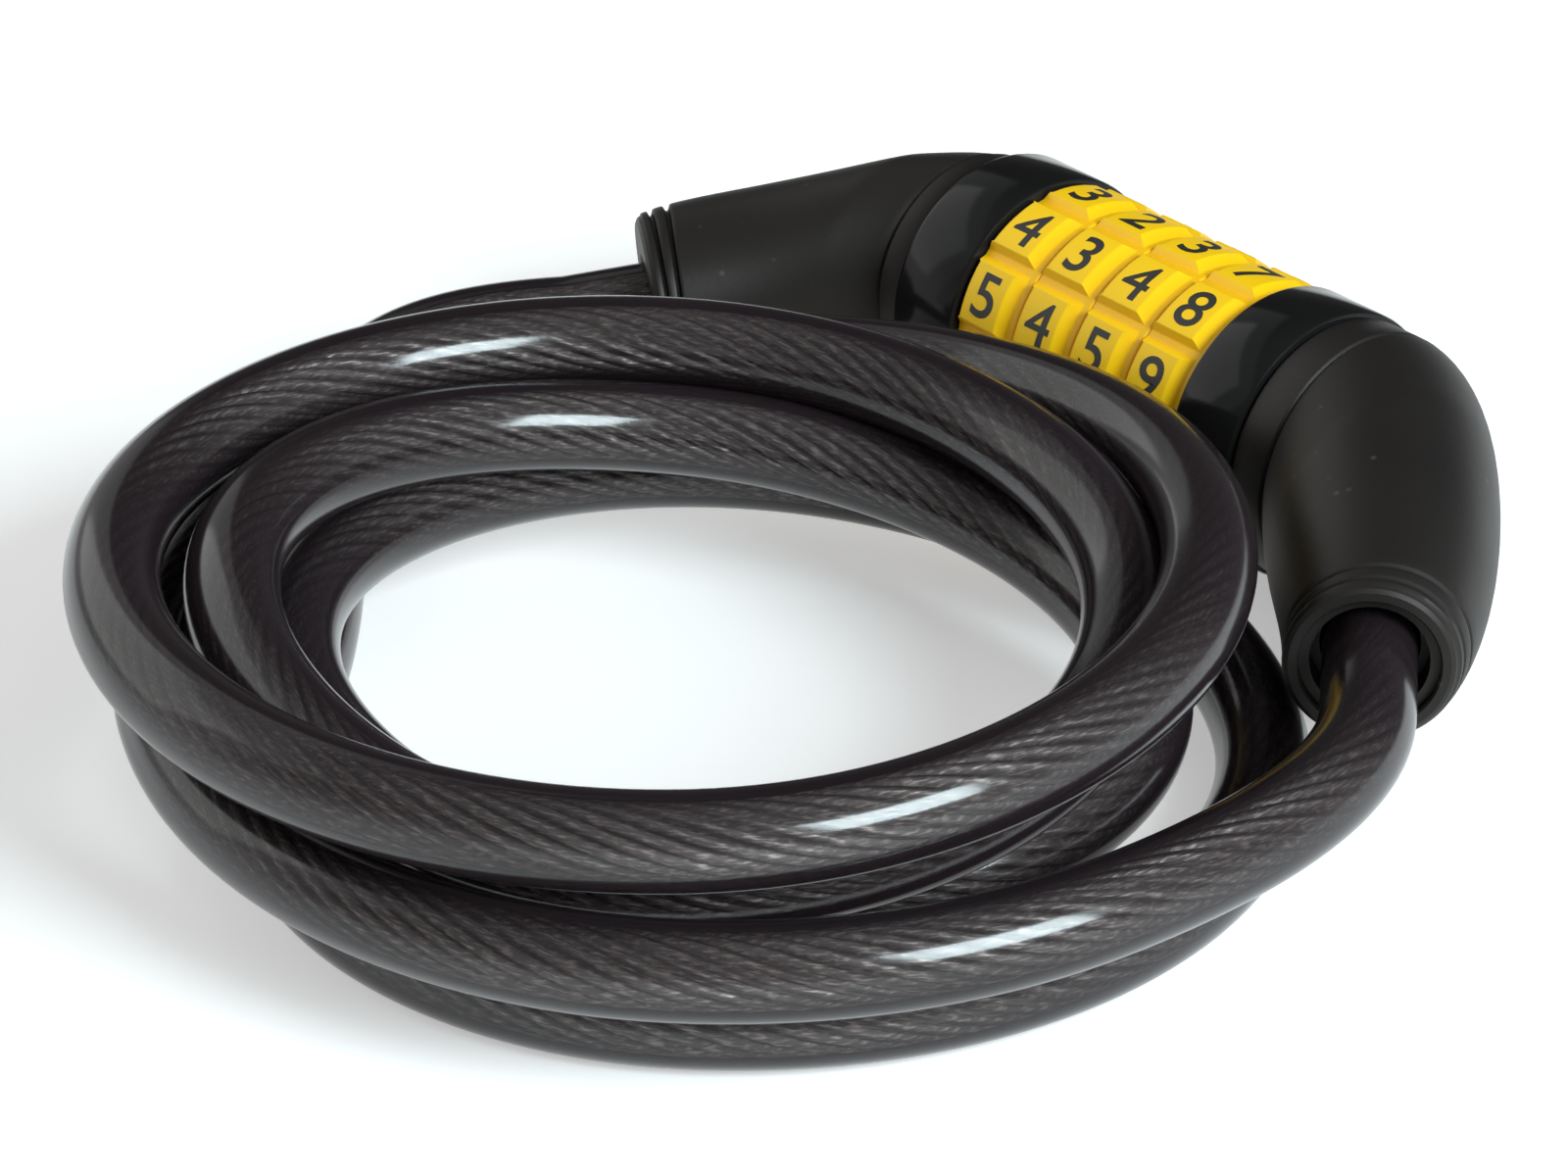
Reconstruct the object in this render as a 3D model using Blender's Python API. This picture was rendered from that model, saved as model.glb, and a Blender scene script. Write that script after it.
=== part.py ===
"""Bicycle cable lock: a four-dial barrel between two elbow housings, with its cable wound in a coil.

+X runs along the barrel from the plug to the boot, +Z is up and the coil lies towards -Y.
The origin is on the surface that the lock lies on, under the middle of the boot-side ring.
"""

import math

import bmesh
import bpy
from mathutils import Matrix, Vector

MM = 0.001

# Fits
GAP = 0.3 * MM  # between two pieces that meet
ROUND_SIDES = 40  # facets round a large turned piece
SMALL_SIDES = 20  # facets round the plug's pin, a slug or a bore
PIN_SIDES = 12  # facets round a cross pin or a detent's hole
EDGE = 0.45 * MM  # chamfer on rings and dials
OVERCUT = 1.0 * MM  # how far a cutter reaches past a face
SLOT_LEAN = math.radians(0.4)  # by which a slot's wall leans
TINY = 1e-6

# Dials
DIAL_COUNT = 4
DIAL_PITCH = 9.25 * MM
DIAL_WALL = 3.45 * MM
DIGITS = 10
PAD_SHARE = 0.70  # of a digit's arc that its raised pad takes
PAD_GROOVE_DEPTH = 0.95 * MM
VALLEY_WIDTH = 2.2 * MM  # low band beside the pads, towards the boot
VALLEY_SLOPE = 0.8 * MM  # of that width, where the pads slope down to it
PAD_PHASE = math.radians(27.0)  # of a pad's middle from the top, towards the coil
KEY_WIDTH = 3.0 * MM  # rib that locks a gate ring into its dial
KEY_HEIGHT = 1.2 * MM
KEY_ANGLE = math.radians(0.0)

# Gate rings inside the dials
GATE_WEB = 2.2 * MM  # flange that blocks a tooth
TOOTH_ROOM = 3.2 * MM  # hollow beside it in which a tooth sits
GATE_ANGLE = math.radians(90.0)
GATE_RELIEF = 0.5 * MM  # between a tooth's top and the hollow
GATE_WALL = 1.6 * MM
DETENT_DEPTH = 0.45 * MM
DETENT_EDGE = 0.2  # of a digit's arc, from a groove's middle to its edge

# Barrel core
CORE_TAIL = 7.0 * MM  # spigot inside the boot
CORE_WEB = 2.5 * MM
TAIL_BORE = 4.0 * MM

# Plug pin
PIN_RADIUS = 3.0 * MM
TOOTH_RISE = 1.6 * MM  # by which a tooth stands out of the core
TOOTH_WIDTH = 2.4 * MM
TOOTH_LENGTH = 2.6 * MM
FLANGE_REACH = 5.4 * MM  # beyond the pin
FLANGE_LENGTH = 2.2 * MM
TIP_LENGTH = 1.2 * MM

# Detents
BALL_RADIUS = 1.2 * MM
BALL_RISE = 0.15 * MM  # by which a pressed ball stands out of the core
SPRING_WIRE = 0.15 * MM  # radius
SPRING_TURNS = 2
SPRING_PITCH = 0.7 * MM
SPRING_FLOOR = 0.45 * MM  # wall between a spring's hole and the pin's bore
SPRING_STEPS = 8  # points for each of its turns

# Rings and collar
END_RING_WIDTH = 9.2 * MM
PLUG_RING_WIDTH = 10.4 * MM
RING_STEP = 0.45 * MM  # by which the rings stand proud of the dials
COLLAR_WIDTH = 4.0 * MM
COLLAR_STEP = 1.1 * MM  # from a ring down to the collar
COLLAR_LIP = 1.3 * MM
SNAP_WIDTH = 1.0 * MM
SNAP_GROOVE = 0.8 * MM
SNAP_HEIGHT = 1.7 * MM
SNAP_OPENING = math.radians(50.0)
SNAP_STEPS = 24

# Cable
CABLE_RADIUS = 5.0 * MM
COIL_GAP = 0.6 * MM
COIL_RADIUS = 50.6 * MM
COIL_CENTRE = Vector((-2.3, -86.4)) * MM
COIL_START = math.radians(51.4)
POINTS_PER_TURN = 24

# Housings: the axis turns at a corner, then runs straight to the mouth
BOOT_CORNER = 8.0 * MM
BOOT_REACH = 44.2 * MM
BOOT_BEND = math.radians(48.3)
BOOT_STEP = 0.5 * MM  # from a ring down to the boot
BOOT_MOUTH_RADIUS = 10.6 * MM
BOOT_BAND = 5.5 * MM
BOOT_BULGE = 13.7 * MM  # how far the outer side runs on before it turns
BOOT_RECESS_RADIUS = 8.2 * MM
BOOT_RECESS_DEPTH = 5.0 * MM
COVER_CORNER = 4.5 * MM
COVER_REACH = 35.6 * MM
COVER_BEND = math.radians(59.4)
COVER_STEP = 1.3 * MM  # from a ring down to the cover
COVER_MOUTH_RADIUS = 10.5 * MM
COVER_BULGE = 14.3 * MM
COVER_ROLL = math.radians(7.9)
HOUSING_SIDES = 24
HOUSING_RINGS = 13
RIB_FROM_MOUTH = (2.6 * MM, 5.4 * MM)
RIB_DEPTH = 0.55 * MM
RIB_WIDTH = 0.7 * MM

# Cable anchors inside the housings
SLUG_LENGTH = 9.0 * MM
BOOT_SLUG_DEPTH = 26.5 * MM  # from the mouth to the slug
COVER_SLUG_DEPTH = 20.5 * MM
CROSS_PIN_RADIUS = 1.25 * MM
CROSS_PIN_HOLD = 3.5 * MM  # of the pin in the wall beyond the slug
TAIL_PIN_FROM_END = 2.8 * MM

# How the coil lies at each quarter turn from the boot: lanes are cable widths out from COIL_RADIUS,
# layers are cable widths up from the surface.
STATIONS = (
    (1.77, 1.03), (0.92, 0.97), (0.31, 1.13), (1.26, 1.37),
    (0.40, 2.24), (0.56, 2.10), (0.69, 2.28), (-0.06, 2.25),
    (-0.43, 1.62), (-0.23, 1.24), (-0.45, 2.12), (-0.72, 1.45),
    (-0.19, 0.49), (-1.28, 0.40), (-0.98, 1.01), (0.13, 0.66),
    (0.67, 0.00), (0.04, 0.00), (-0.81, 0.00), (-0.74, 0.04),
)
COIL_FIRST = 0.55  # quarter turns from COIL_START at which the cable joins its loops
COIL_LAST = 18.0
JOIN_PLACES = (0.3, 0.65)  # of the way from the boot's mouth to the loops
LEAD_BULGE = (42.0 * MM, 38.0 * MM)  # how far the lead runs on at each end before it turns
LEAD_STEPS = 9

# Places that follow from the sizes above
PIN_BORE = PIN_RADIUS + GAP
SPRING_LENGTH = SPRING_TURNS * SPRING_PITCH
SPRING_TOP = PIN_BORE + SPRING_FLOOR + GAP + SPRING_LENGTH
BALL_CENTRE = SPRING_TOP + GAP + BALL_RADIUS
CORE_RADIUS = BALL_CENTRE + BALL_RADIUS - BALL_RISE
TOOTH_TOP = CORE_RADIUS + TOOTH_RISE
GATE_ROOM = TOOTH_TOP + GATE_RELIEF
DIAL_BORE = GATE_ROOM + GATE_WALL + GAP
DIAL_RADIUS = DIAL_BORE + DIAL_WALL
RING_RADIUS = DIAL_RADIUS + RING_STEP
COLLAR_RADIUS = RING_RADIUS - COLLAR_STEP
BOOT_RADIUS = RING_RADIUS - BOOT_STEP
COVER_RADIUS = RING_RADIUS - COVER_STEP
FLANGE_RADIUS = PIN_RADIUS + FLANGE_REACH
AXIS_HEIGHT = RING_RADIUS * math.cos(math.pi / ROUND_SIDES)
STACK_END = -END_RING_WIDTH / 2 - GAP / 2
STACK_START = STACK_END - DIAL_COUNT * DIAL_PITCH
PLUG_RING_END = STACK_START - GAP / 2
PLUG_FACE = PLUG_RING_END - PLUG_RING_WIDTH
COLLAR_END = PLUG_FACE - GAP
COVER_START = COLLAR_END - COLLAR_WIDTH - GAP
BOOT_START = END_RING_WIDTH / 2 + GAP
CORE_END = BOOT_START + CORE_TAIL
RING_BORE = CORE_RADIUS + GAP
SLOT_WIDTH = TOOTH_WIDTH + 2 * GAP
GATE_SLOT_WIDTH = SLOT_WIDTH + 2 * GAP
CABLE_DIAMETER = 2 * CABLE_RADIUS
CABLE_STEP = CABLE_DIAMETER + COIL_GAP
DIAL_WIDTH = DIAL_PITCH - GAP
TOOTH_OFFSET = GAP / 2 + GATE_WEB + (TOOTH_ROOM - TOOTH_LENGTH) / 2
LAST_TOOTH_END = STACK_END - DIAL_PITCH + TOOTH_OFFSET + TOOTH_LENGTH
PIN_END = LAST_TOOTH_END + TIP_LENGTH
PIN_BORE_END = PIN_END + GAP
CHANNEL_RADIUS = CABLE_RADIUS + GAP
DETENT_OFFSET = (GATE_WEB + TOOTH_ROOM + DIAL_WIDTH) / 2
BALL_HOLE = BALL_RADIUS + GAP


# ---------------------------------------------------------------- helpers


def clear_scene():
    for obj in list(bpy.data.objects):
        bpy.data.objects.remove(obj, do_unlink=True)


def make_material(name, colour, roughness, metallic):
    material = bpy.data.materials.new(name)
    material.use_nodes = True
    shader = material.node_tree.nodes["Principled BSDF"]
    shader.inputs["Base Color"].default_value = (*colour, 1.0)
    shader.inputs["Roughness"].default_value = roughness
    shader.inputs["Metallic"].default_value = metallic
    material.diffuse_color = (*colour, 1.0)
    return material


def add_object(name, shape, material, location=(0.0, 0.0, AXIS_HEIGHT)):
    """Turns a bmesh into a named object with smooth round faces."""
    bmesh.ops.recalc_face_normals(shape, faces=shape.faces)
    mesh = bpy.data.meshes.new(name)
    shape.to_mesh(mesh)
    shape.free()
    mesh.shade_smooth()
    mesh.set_sharp_from_angle(angle=math.radians(35.0))
    if material:
        mesh.materials.append(material)
    obj = bpy.data.objects.new(name, mesh)
    obj.location = location
    bpy.context.scene.collection.objects.link(obj)
    return obj


def bridge_loops(shape, loops, closed):
    """Joins neighbouring loops of vertices with quads, and the last to the first where closed."""
    count = len(loops)
    for index in range(count if closed else count - 1):
        here, there = loops[index], loops[(index + 1) % count]
        size = len(here)
        for k in range(size):
            shape.faces.new((here[k], here[(k + 1) % size], there[(k + 1) % size], there[k]))


def swept_ring(angles, section_at):
    """A ring round X: section_at(angle) gives its closed outline there, as (x, radius) pairs."""
    shape = bmesh.new()
    loops = []
    for angle in angles:
        side, rise = math.cos(angle), math.sin(angle)
        loops.append([shape.verts.new((x, r * side, r * rise)) for x, r in section_at(angle)])
    bridge_loops(shape, loops, closed=True)
    return shape


def even_angles(sides):
    """Angles of a polygon that has a flat side at the very bottom."""
    return [math.tau * (k + 0.5) / sides for k in range(sides)]


def turned(profile, sides=ROUND_SIDES):
    """A solid of revolution round X from an open (x, radius) profile, closed by two flat ends."""
    shape = bmesh.new()
    loops = []
    for x, r in profile:
        loops.append([shape.verts.new((x, r * math.cos(a), r * math.sin(a))) for a in even_angles(sides)])
    bridge_loops(shape, loops, closed=False)
    shape.faces.new(loops[0])
    shape.faces.new(loops[-1])
    return shape


def rod(start, direction, length, radius, sides=SMALL_SIDES):
    """A plain cylinder from start along direction."""
    shape = turned(((0.0, radius), (length, radius)), sides)
    turn = Vector((1, 0, 0)).rotation_difference(direction).to_matrix().to_4x4()
    bmesh.ops.transform(shape, matrix=Matrix.Translation(start) @ turn, verts=shape.verts)
    return shape


def block(low, high):
    shape = bmesh.new()
    bmesh.ops.create_cube(shape, size=1.0)
    size = [b - a for a, b in zip(low, high)]
    middle = [(a + b) / 2 for a, b in zip(low, high)]
    bmesh.ops.scale(shape, vec=size, verts=shape.verts)
    bmesh.ops.translate(shape, vec=middle, verts=shape.verts)
    return shape


def combine(target, shape, operation):
    """Cuts shape from target, or joins it on, with a Boolean modifier and a hidden helper."""
    helper = add_object(f"{target.name}_{operation.lower()}_{len(target.modifiers)}", shape, None, (0, 0, 0))
    helper.parent = target
    helper.hide_render = True
    helper.display_type = "WIRE"
    modifier = target.modifiers.new(helper.name, "BOOLEAN")
    modifier.operation = operation
    modifier.solver = "EXACT"
    modifier.object = helper


def near(angle, middle, half_width):
    """Whether angle is within half_width of middle, round the circle."""
    return abs((angle - middle + math.pi) % math.tau - math.pi) <= half_width


def with_edges(angles, middle, half_width):
    """Adds the two steep sides of a slot to a list of angles, and drops those that lie in its walls."""
    beyond = half_width + 2 * SLOT_LEAN
    kept = [a for a in angles if not near(a, middle, beyond) or near(a, middle, half_width / 2)]
    edges = [middle + side * (half_width + lean) for side in (-1, 1) for lean in (0.0, SLOT_LEAN)]
    return sorted(a % math.tau for a in kept + edges)


# ---------------------------------------------------------------- dials and gate rings


def dial_surface(angle):
    """Radius of the dial's outside: raised pads with scooped grooves between them."""
    pitch = math.tau / DIGITS
    offset = (angle - math.pi / 2 - PAD_PHASE + pitch / 2) % pitch - pitch / 2
    past_pad = (abs(offset) / (pitch / 2) - PAD_SHARE) / (1.0 - PAD_SHARE)
    if past_pad <= 0.0:
        return DIAL_RADIUS
    return DIAL_RADIUS - PAD_GROOVE_DEPTH * math.sin(past_pad * math.pi / 2)


def make_dial(index, material):
    pitch = math.tau / DIGITS
    steps = (-PAD_SHARE / 2, 0.0, PAD_SHARE / 2, 0.5 - (1 - PAD_SHARE) / 4, 0.5)
    angles = [math.pi / 2 + PAD_PHASE + pitch * (k + s) for k in range(DIGITS) for s in steps]
    angles += [math.pi / 2 + PAD_PHASE + pitch * (k + 0.5 + (1 - PAD_SHARE) / 4) for k in range(DIGITS)]
    key_half = (KEY_WIDTH / 2 + GAP) / DIAL_BORE
    angles = with_edges([a % math.tau for a in angles], KEY_ANGLE, key_half)

    def section(angle):
        top = dial_surface(angle)
        bore = DIAL_BORE + KEY_HEIGHT if near(angle, KEY_ANGLE, key_half + TINY) else DIAL_BORE
        floor = DIAL_RADIUS - PAD_GROOVE_DEPTH
        half = DIAL_WIDTH / 2
        return (
            (-half, bore), (-half, top - EDGE), (EDGE - half, top), (half - VALLEY_WIDTH, top),
            (half - VALLEY_WIDTH + VALLEY_SLOPE, floor), (half, floor), (half, bore),
        )

    place = (STACK_START + DIAL_PITCH * (index + 0.5), 0, AXIS_HEIGHT)
    return add_object(f"dial_{index + 1}", swept_ring(angles, section), material, place)


def make_gate_ring(index, material):
    outside = DIAL_BORE - GAP
    key_half = KEY_WIDTH / 2 / outside
    slot_half = GATE_SLOT_WIDTH / 2 / RING_BORE
    pitch = math.tau / DIGITS
    steps = (0.0, DETENT_EDGE, 0.5, 1.0 - DETENT_EDGE)
    angles = [(GATE_ANGLE + pitch * (k + s)) % math.tau for k in range(DIGITS) for s in steps]
    angles = with_edges(with_edges(angles, GATE_ANGLE, slot_half), KEY_ANGLE, key_half)

    def section(angle):
        top = outside + (KEY_HEIGHT - GAP if near(angle, KEY_ANGLE, key_half + TINY) else 0.0)
        web = band = RING_BORE
        if near(angle, GATE_ANGLE, slot_half + TINY):
            web = band = TOOTH_TOP + GAP
        elif abs((angle - GATE_ANGLE + pitch / 2) % pitch - pitch / 2) < pitch * DETENT_EDGE / 2:
            band = RING_BORE + DETENT_DEPTH
        left = -DIAL_WIDTH / 2
        web_end = left + GATE_WEB
        room_end = web_end + TOOTH_ROOM
        right = DIAL_WIDTH / 2
        return (
            (left, web), (left, top), (right, top), (right, band),
            (room_end, band), (room_end, GATE_ROOM), (web_end, GATE_ROOM), (web_end, web),
        )

    place = (STACK_START + DIAL_PITCH * (index + 0.5), 0, AXIS_HEIGHT)
    return add_object(f"gate_ring_{index + 1}", swept_ring(angles, section), material, place)


# ---------------------------------------------------------------- barrel


def detent_places():
    return [STACK_START + DIAL_PITCH * k + GAP / 2 + DETENT_OFFSET for k in range(DIAL_COUNT)]


def make_core(material):
    """The tube that the dials turn on, with the pin's bore and slot, detent holes and a spigot."""
    groove_start = STACK_END + GAP + SNAP_WIDTH / 2
    inner = CORE_RADIUS - SNAP_GROOVE
    profile = (
        (PLUG_FACE, CORE_RADIUS - EDGE), (PLUG_FACE + EDGE, CORE_RADIUS),
        (groove_start, CORE_RADIUS), (groove_start, inner),
        (groove_start + SNAP_WIDTH + 2 * GAP, inner), (groove_start + SNAP_WIDTH + 2 * GAP, CORE_RADIUS),
        (CORE_END, CORE_RADIUS),
    )
    core = add_object("barrel_core", turned(profile), material)
    before = PLUG_FACE - OVERCUT
    combine(core, rod((before, 0, 0), Vector((1, 0, 0)), PIN_BORE_END - before, PIN_BORE), "DIFFERENCE")
    slot_end = LAST_TOOTH_END + GAP
    slot = block((before, -SLOT_WIDTH / 2, 0), (slot_end, SLOT_WIDTH / 2, CORE_RADIUS + OVERCUT))
    combine(core, slot, "DIFFERENCE")
    tail_start = PIN_BORE_END + CORE_WEB
    tail = rod((tail_start, 0, 0), Vector((1, 0, 0)), CORE_END + OVERCUT - tail_start, TAIL_BORE)
    combine(core, tail, "DIFFERENCE")
    low = -CORE_RADIUS - OVERCUT
    floor = SPRING_TOP - SPRING_LENGTH - GAP
    for x in detent_places():
        hole = rod((x, 0, low), Vector((0, 0, 1)), -low - floor, BALL_HOLE, PIN_SIDES)
        combine(core, hole, "DIFFERENCE")
    pin_x = CORE_END - TAIL_PIN_FROM_END
    hole = rod((pin_x, 0, low), Vector((0, 0, 1)), -2 * low, CROSS_PIN_RADIUS + GAP, PIN_SIDES)
    combine(core, hole, "DIFFERENCE")
    return core


def make_detents(ball_material, spring_material):
    for number, x in enumerate(detent_places(), 1):
        shape = bmesh.new()
        bmesh.ops.create_icosphere(shape, subdivisions=2, radius=BALL_RADIUS)
        add_object(f"detent_ball_{number}", shape, ball_material, (x, 0, AXIS_HEIGHT - BALL_CENTRE))
        radius = BALL_RADIUS - SPRING_WIRE
        steps = SPRING_TURNS * SPRING_STEPS
        length = SPRING_LENGTH - 2 * SPRING_WIRE
        low = AXIS_HEIGHT - SPRING_TOP + SPRING_WIRE
        points = []
        for k in range(steps + 1):
            angle = math.tau * k / SPRING_STEPS
            points.append((x + radius * math.cos(angle), radius * math.sin(angle), low + length * k / steps))
        add_tube(f"detent_spring_{number}", points, SPRING_WIRE, 0, spring_material)


def make_end_ring(material):
    """Glossy ring on the boot side, hollowed at its dial face for the snap ring."""
    half = END_RING_WIDTH / 2
    pocket = CORE_RADIUS + SNAP_HEIGHT - SNAP_GROOVE + 2 * GAP
    depth = STACK_END + GAP + SNAP_WIDTH / 2 + SNAP_WIDTH + 3 * GAP

    def section(_):
        return (
            (-half, pocket), (-half, RING_RADIUS - EDGE), (EDGE - half, RING_RADIUS),
            (half - EDGE, RING_RADIUS), (half, RING_RADIUS - EDGE), (half, RING_BORE),
            (depth, RING_BORE), (depth, pocket),
        )

    return add_object("boot_side_ring", swept_ring(even_angles(ROUND_SIDES), section), material)


def make_plug_ring(material):
    """Glossy ring on the plug side, with a keyway that the pin's teeth pass through."""
    slot_half = GATE_SLOT_WIDTH / 2 / RING_BORE
    angles = with_edges(even_angles(ROUND_SIDES), GATE_ANGLE, slot_half)

    def section(angle):
        bore = TOOTH_TOP + GAP if near(angle, GATE_ANGLE, slot_half + TINY) else RING_BORE
        return (
            (PLUG_FACE, bore), (PLUG_FACE, RING_RADIUS - 2 * EDGE), (PLUG_FACE + 2 * EDGE, RING_RADIUS),
            (PLUG_RING_END - EDGE, RING_RADIUS), (PLUG_RING_END, RING_RADIUS - EDGE), (PLUG_RING_END, bore),
        )

    return add_object("plug_side_ring", swept_ring(angles, section), material)


def make_snap_ring(material):
    """Open spring ring in the core's groove, which keeps the dials on."""
    start = STACK_END + GAP + SNAP_WIDTH / 2 + GAP
    inner = CORE_RADIUS - SNAP_GROOVE + GAP
    outer = inner + SNAP_HEIGHT
    shape = bmesh.new()
    loops = []
    for k in range(SNAP_STEPS + 1):
        angle = -math.pi / 2 + SNAP_OPENING / 2 + (math.tau - SNAP_OPENING) * k / SNAP_STEPS
        side, rise = math.cos(angle), math.sin(angle)
        corners = ((start, inner), (start, outer), (start + SNAP_WIDTH, outer), (start + SNAP_WIDTH, inner))
        loops.append([shape.verts.new((x, r * side, r * rise)) for x, r in corners])
    bridge_loops(shape, loops, closed=False)
    shape.faces.new(loops[0])
    shape.faces.new(loops[-1])
    return add_object("snap_ring", shape, material)


# ---------------------------------------------------------------- plug


def make_plug_pin(material):
    """Steel pin with one tooth for each dial and a flange that the collar traps."""
    flange_start = COLLAR_END - COLLAR_LIP - GAP - FLANGE_LENGTH
    flange_end = flange_start + FLANGE_LENGTH
    profile = (
        (flange_start, FLANGE_RADIUS), (flange_end, FLANGE_RADIUS), (flange_end, PIN_RADIUS),
        (PIN_END - TIP_LENGTH / 2, PIN_RADIUS), (PIN_END, PIN_RADIUS - TIP_LENGTH / 2),
    )
    pin = add_object("plug_pin", turned(profile, SMALL_SIDES), material)
    for k in range(DIAL_COUNT):
        x = STACK_START + DIAL_PITCH * k + TOOTH_OFFSET
        tooth = block((x, -TOOTH_WIDTH / 2, 0), (x + TOOTH_LENGTH, TOOTH_WIDTH / 2, TOOTH_TOP))
        combine(pin, tooth, "UNION")
    return pin


def make_collar(material):
    """Ring between the plug's cover and the barrel; its lip holds the pin's flange in the cover."""
    start = COLLAR_END - COLLAR_WIDTH
    flange_hole = FLANGE_RADIUS + GAP
    lip_hole = PIN_RADIUS + 2 * GAP

    def section(_):
        return (
            (start, flange_hole), (start, COLLAR_RADIUS - EDGE), (start + EDGE, COLLAR_RADIUS),
            (COLLAR_END - 2 * EDGE, COLLAR_RADIUS), (COLLAR_END, COLLAR_RADIUS - 2 * EDGE),
            (COLLAR_END, lip_hole), (COLLAR_END - COLLAR_LIP, lip_hole),
            (COLLAR_END - COLLAR_LIP, flange_hole),
        )

    return add_object("plug_collar", swept_ring(even_angles(ROUND_SIDES), section), material)


# ---------------------------------------------------------------- elbow housings


def bezier(a, b, c, d, t):
    s = 1.0 - t
    return a * s**3 + b * 3 * s * s * t + c * 3 * s * t * t + d * t**3


def housing_axis(side, corner, reach, bend):
    """Mouth centre and outward direction, in the elbow's plane and from the housing's start."""
    direction = Vector((side * math.cos(bend), -math.sin(bend), 0.0))
    return Vector((side * corner, 0.0, 0.0)) + direction * reach, direction


def housing_shape(side, band, radius, mouth, direction, mouth_radius, bulge):
    """Outer skin of an elbow: round rings whose ends follow an inner and an outer outline."""
    across = Vector((-direction.y, direction.x, 0.0)) * side
    outer = [Vector((side * band, radius, 0)), Vector((side * (band + bulge), radius, 0))]
    outer += [mouth + across * mouth_radius - direction * bulge, mouth + across * mouth_radius]
    inner_start, inner_end = Vector((side * band, -radius, 0)), mouth - across * mouth_radius
    inner_run = (inner_end - inner_start).length / 3
    inner = [inner_start, inner_start + Vector((side, -1, 0)).normalized() * inner_run]
    inner += [inner_end - direction * inner_run, inner_end]

    length = (outer[3] - outer[0]).length
    stops = [(k / HOUSING_RINGS, 0.0) for k in range(HOUSING_RINGS + 1)]
    for distance in RIB_FROM_MOUTH:
        middle, half = 1.0 - distance / length, RIB_WIDTH / length / 2
        stops = [s for s in stops if abs(s[0] - middle) > 2 * half]
        stops += [(middle - 1.5 * half, 0.0), (middle - half / 2, RIB_DEPTH)]
        stops += [(middle + half / 2, RIB_DEPTH), (middle + 1.5 * half, 0.0)]

    shape = bmesh.new()
    loops = []
    if band:
        loops.append(ring_of(shape, Vector((0, 0, 0)), Vector((0, radius, 0)), radius))
        groove = radius - RIB_DEPTH
        for place, size in ((band - RIB_WIDTH, radius), (band - RIB_WIDTH / 2, groove)):
            loops.append(ring_of(shape, Vector((side * place, 0, 0)), Vector((0, size, 0)), size))
    for t, dip in sorted(stops):
        far, close = bezier(*outer, t), bezier(*inner, t)
        half = (far - close) / 2
        half -= half.normalized() * dip
        loops.append(ring_of(shape, (far + close) / 2, half, min(half.length, radius)))
    bridge_loops(shape, loops, closed=False)
    shape.faces.new(loops[0])
    shape.faces.new(loops[-1])
    return shape


def ring_of(shape, centre, half, height):
    """A ring of vertices through centre + half and centre - half, that is height tall above the plane."""
    rise = Vector((0, 0, height))
    verts = []
    for angle in even_angles(HOUSING_SIDES):
        verts.append(shape.verts.new(centre + half * math.cos(angle) + rise * math.sin(angle)))
    return verts


def cross_pin_span():
    return CABLE_RADIUS + CROSS_PIN_HOLD


def make_anchor(prefix, base, mouth, direction, depth, steel, roll=0.0):
    """The crimped slug on the cable's end, and the pin across it that holds it in the housing."""
    start = mouth - direction * (depth + SLUG_LENGTH)
    slug = add_object(f"{prefix}_cable_slug", rod(start, direction, SLUG_LENGTH, CABLE_RADIUS), steel, base)
    slug.rotation_euler.x = roll
    middle = start + direction * (SLUG_LENGTH / 2)
    span = cross_pin_span()
    low = middle - Vector((0, 0, span))
    hole = rod(low, Vector((0, 0, 1)), 2 * span, CROSS_PIN_RADIUS + GAP, PIN_SIDES)
    combine(slug, hole, "DIFFERENCE")
    pin = rod(low, Vector((0, 0, 1)), 2 * span, CROSS_PIN_RADIUS, PIN_SIDES)
    pin_object = add_object(f"{prefix}_cross_pin", pin, steel, base)
    pin_object.rotation_euler.x = roll
    return middle


def pin_hole_from_below(housing, middle, reach):
    """Blind hole for a cross pin that is driven in from the housing's underside."""
    low = Vector((middle.x, middle.y, -RING_RADIUS - OVERCUT))
    hole = rod(low, Vector((0, 0, 1)), reach + GAP - low.z, CROSS_PIN_RADIUS + GAP, PIN_SIDES)
    combine(housing, hole, "DIFFERENCE")


def cut_cable_way(housing, mouth, direction, depth, slug_middle):
    """Bore for cable and slug, and the hole that the cross pin is driven into from below."""
    length = depth + SLUG_LENGTH + GAP
    channel = rod(mouth - direction * length, direction, length + OVERCUT, CHANNEL_RADIUS)
    combine(housing, channel, "DIFFERENCE")
    pin_hole_from_below(housing, slug_middle, cross_pin_span())


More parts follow.
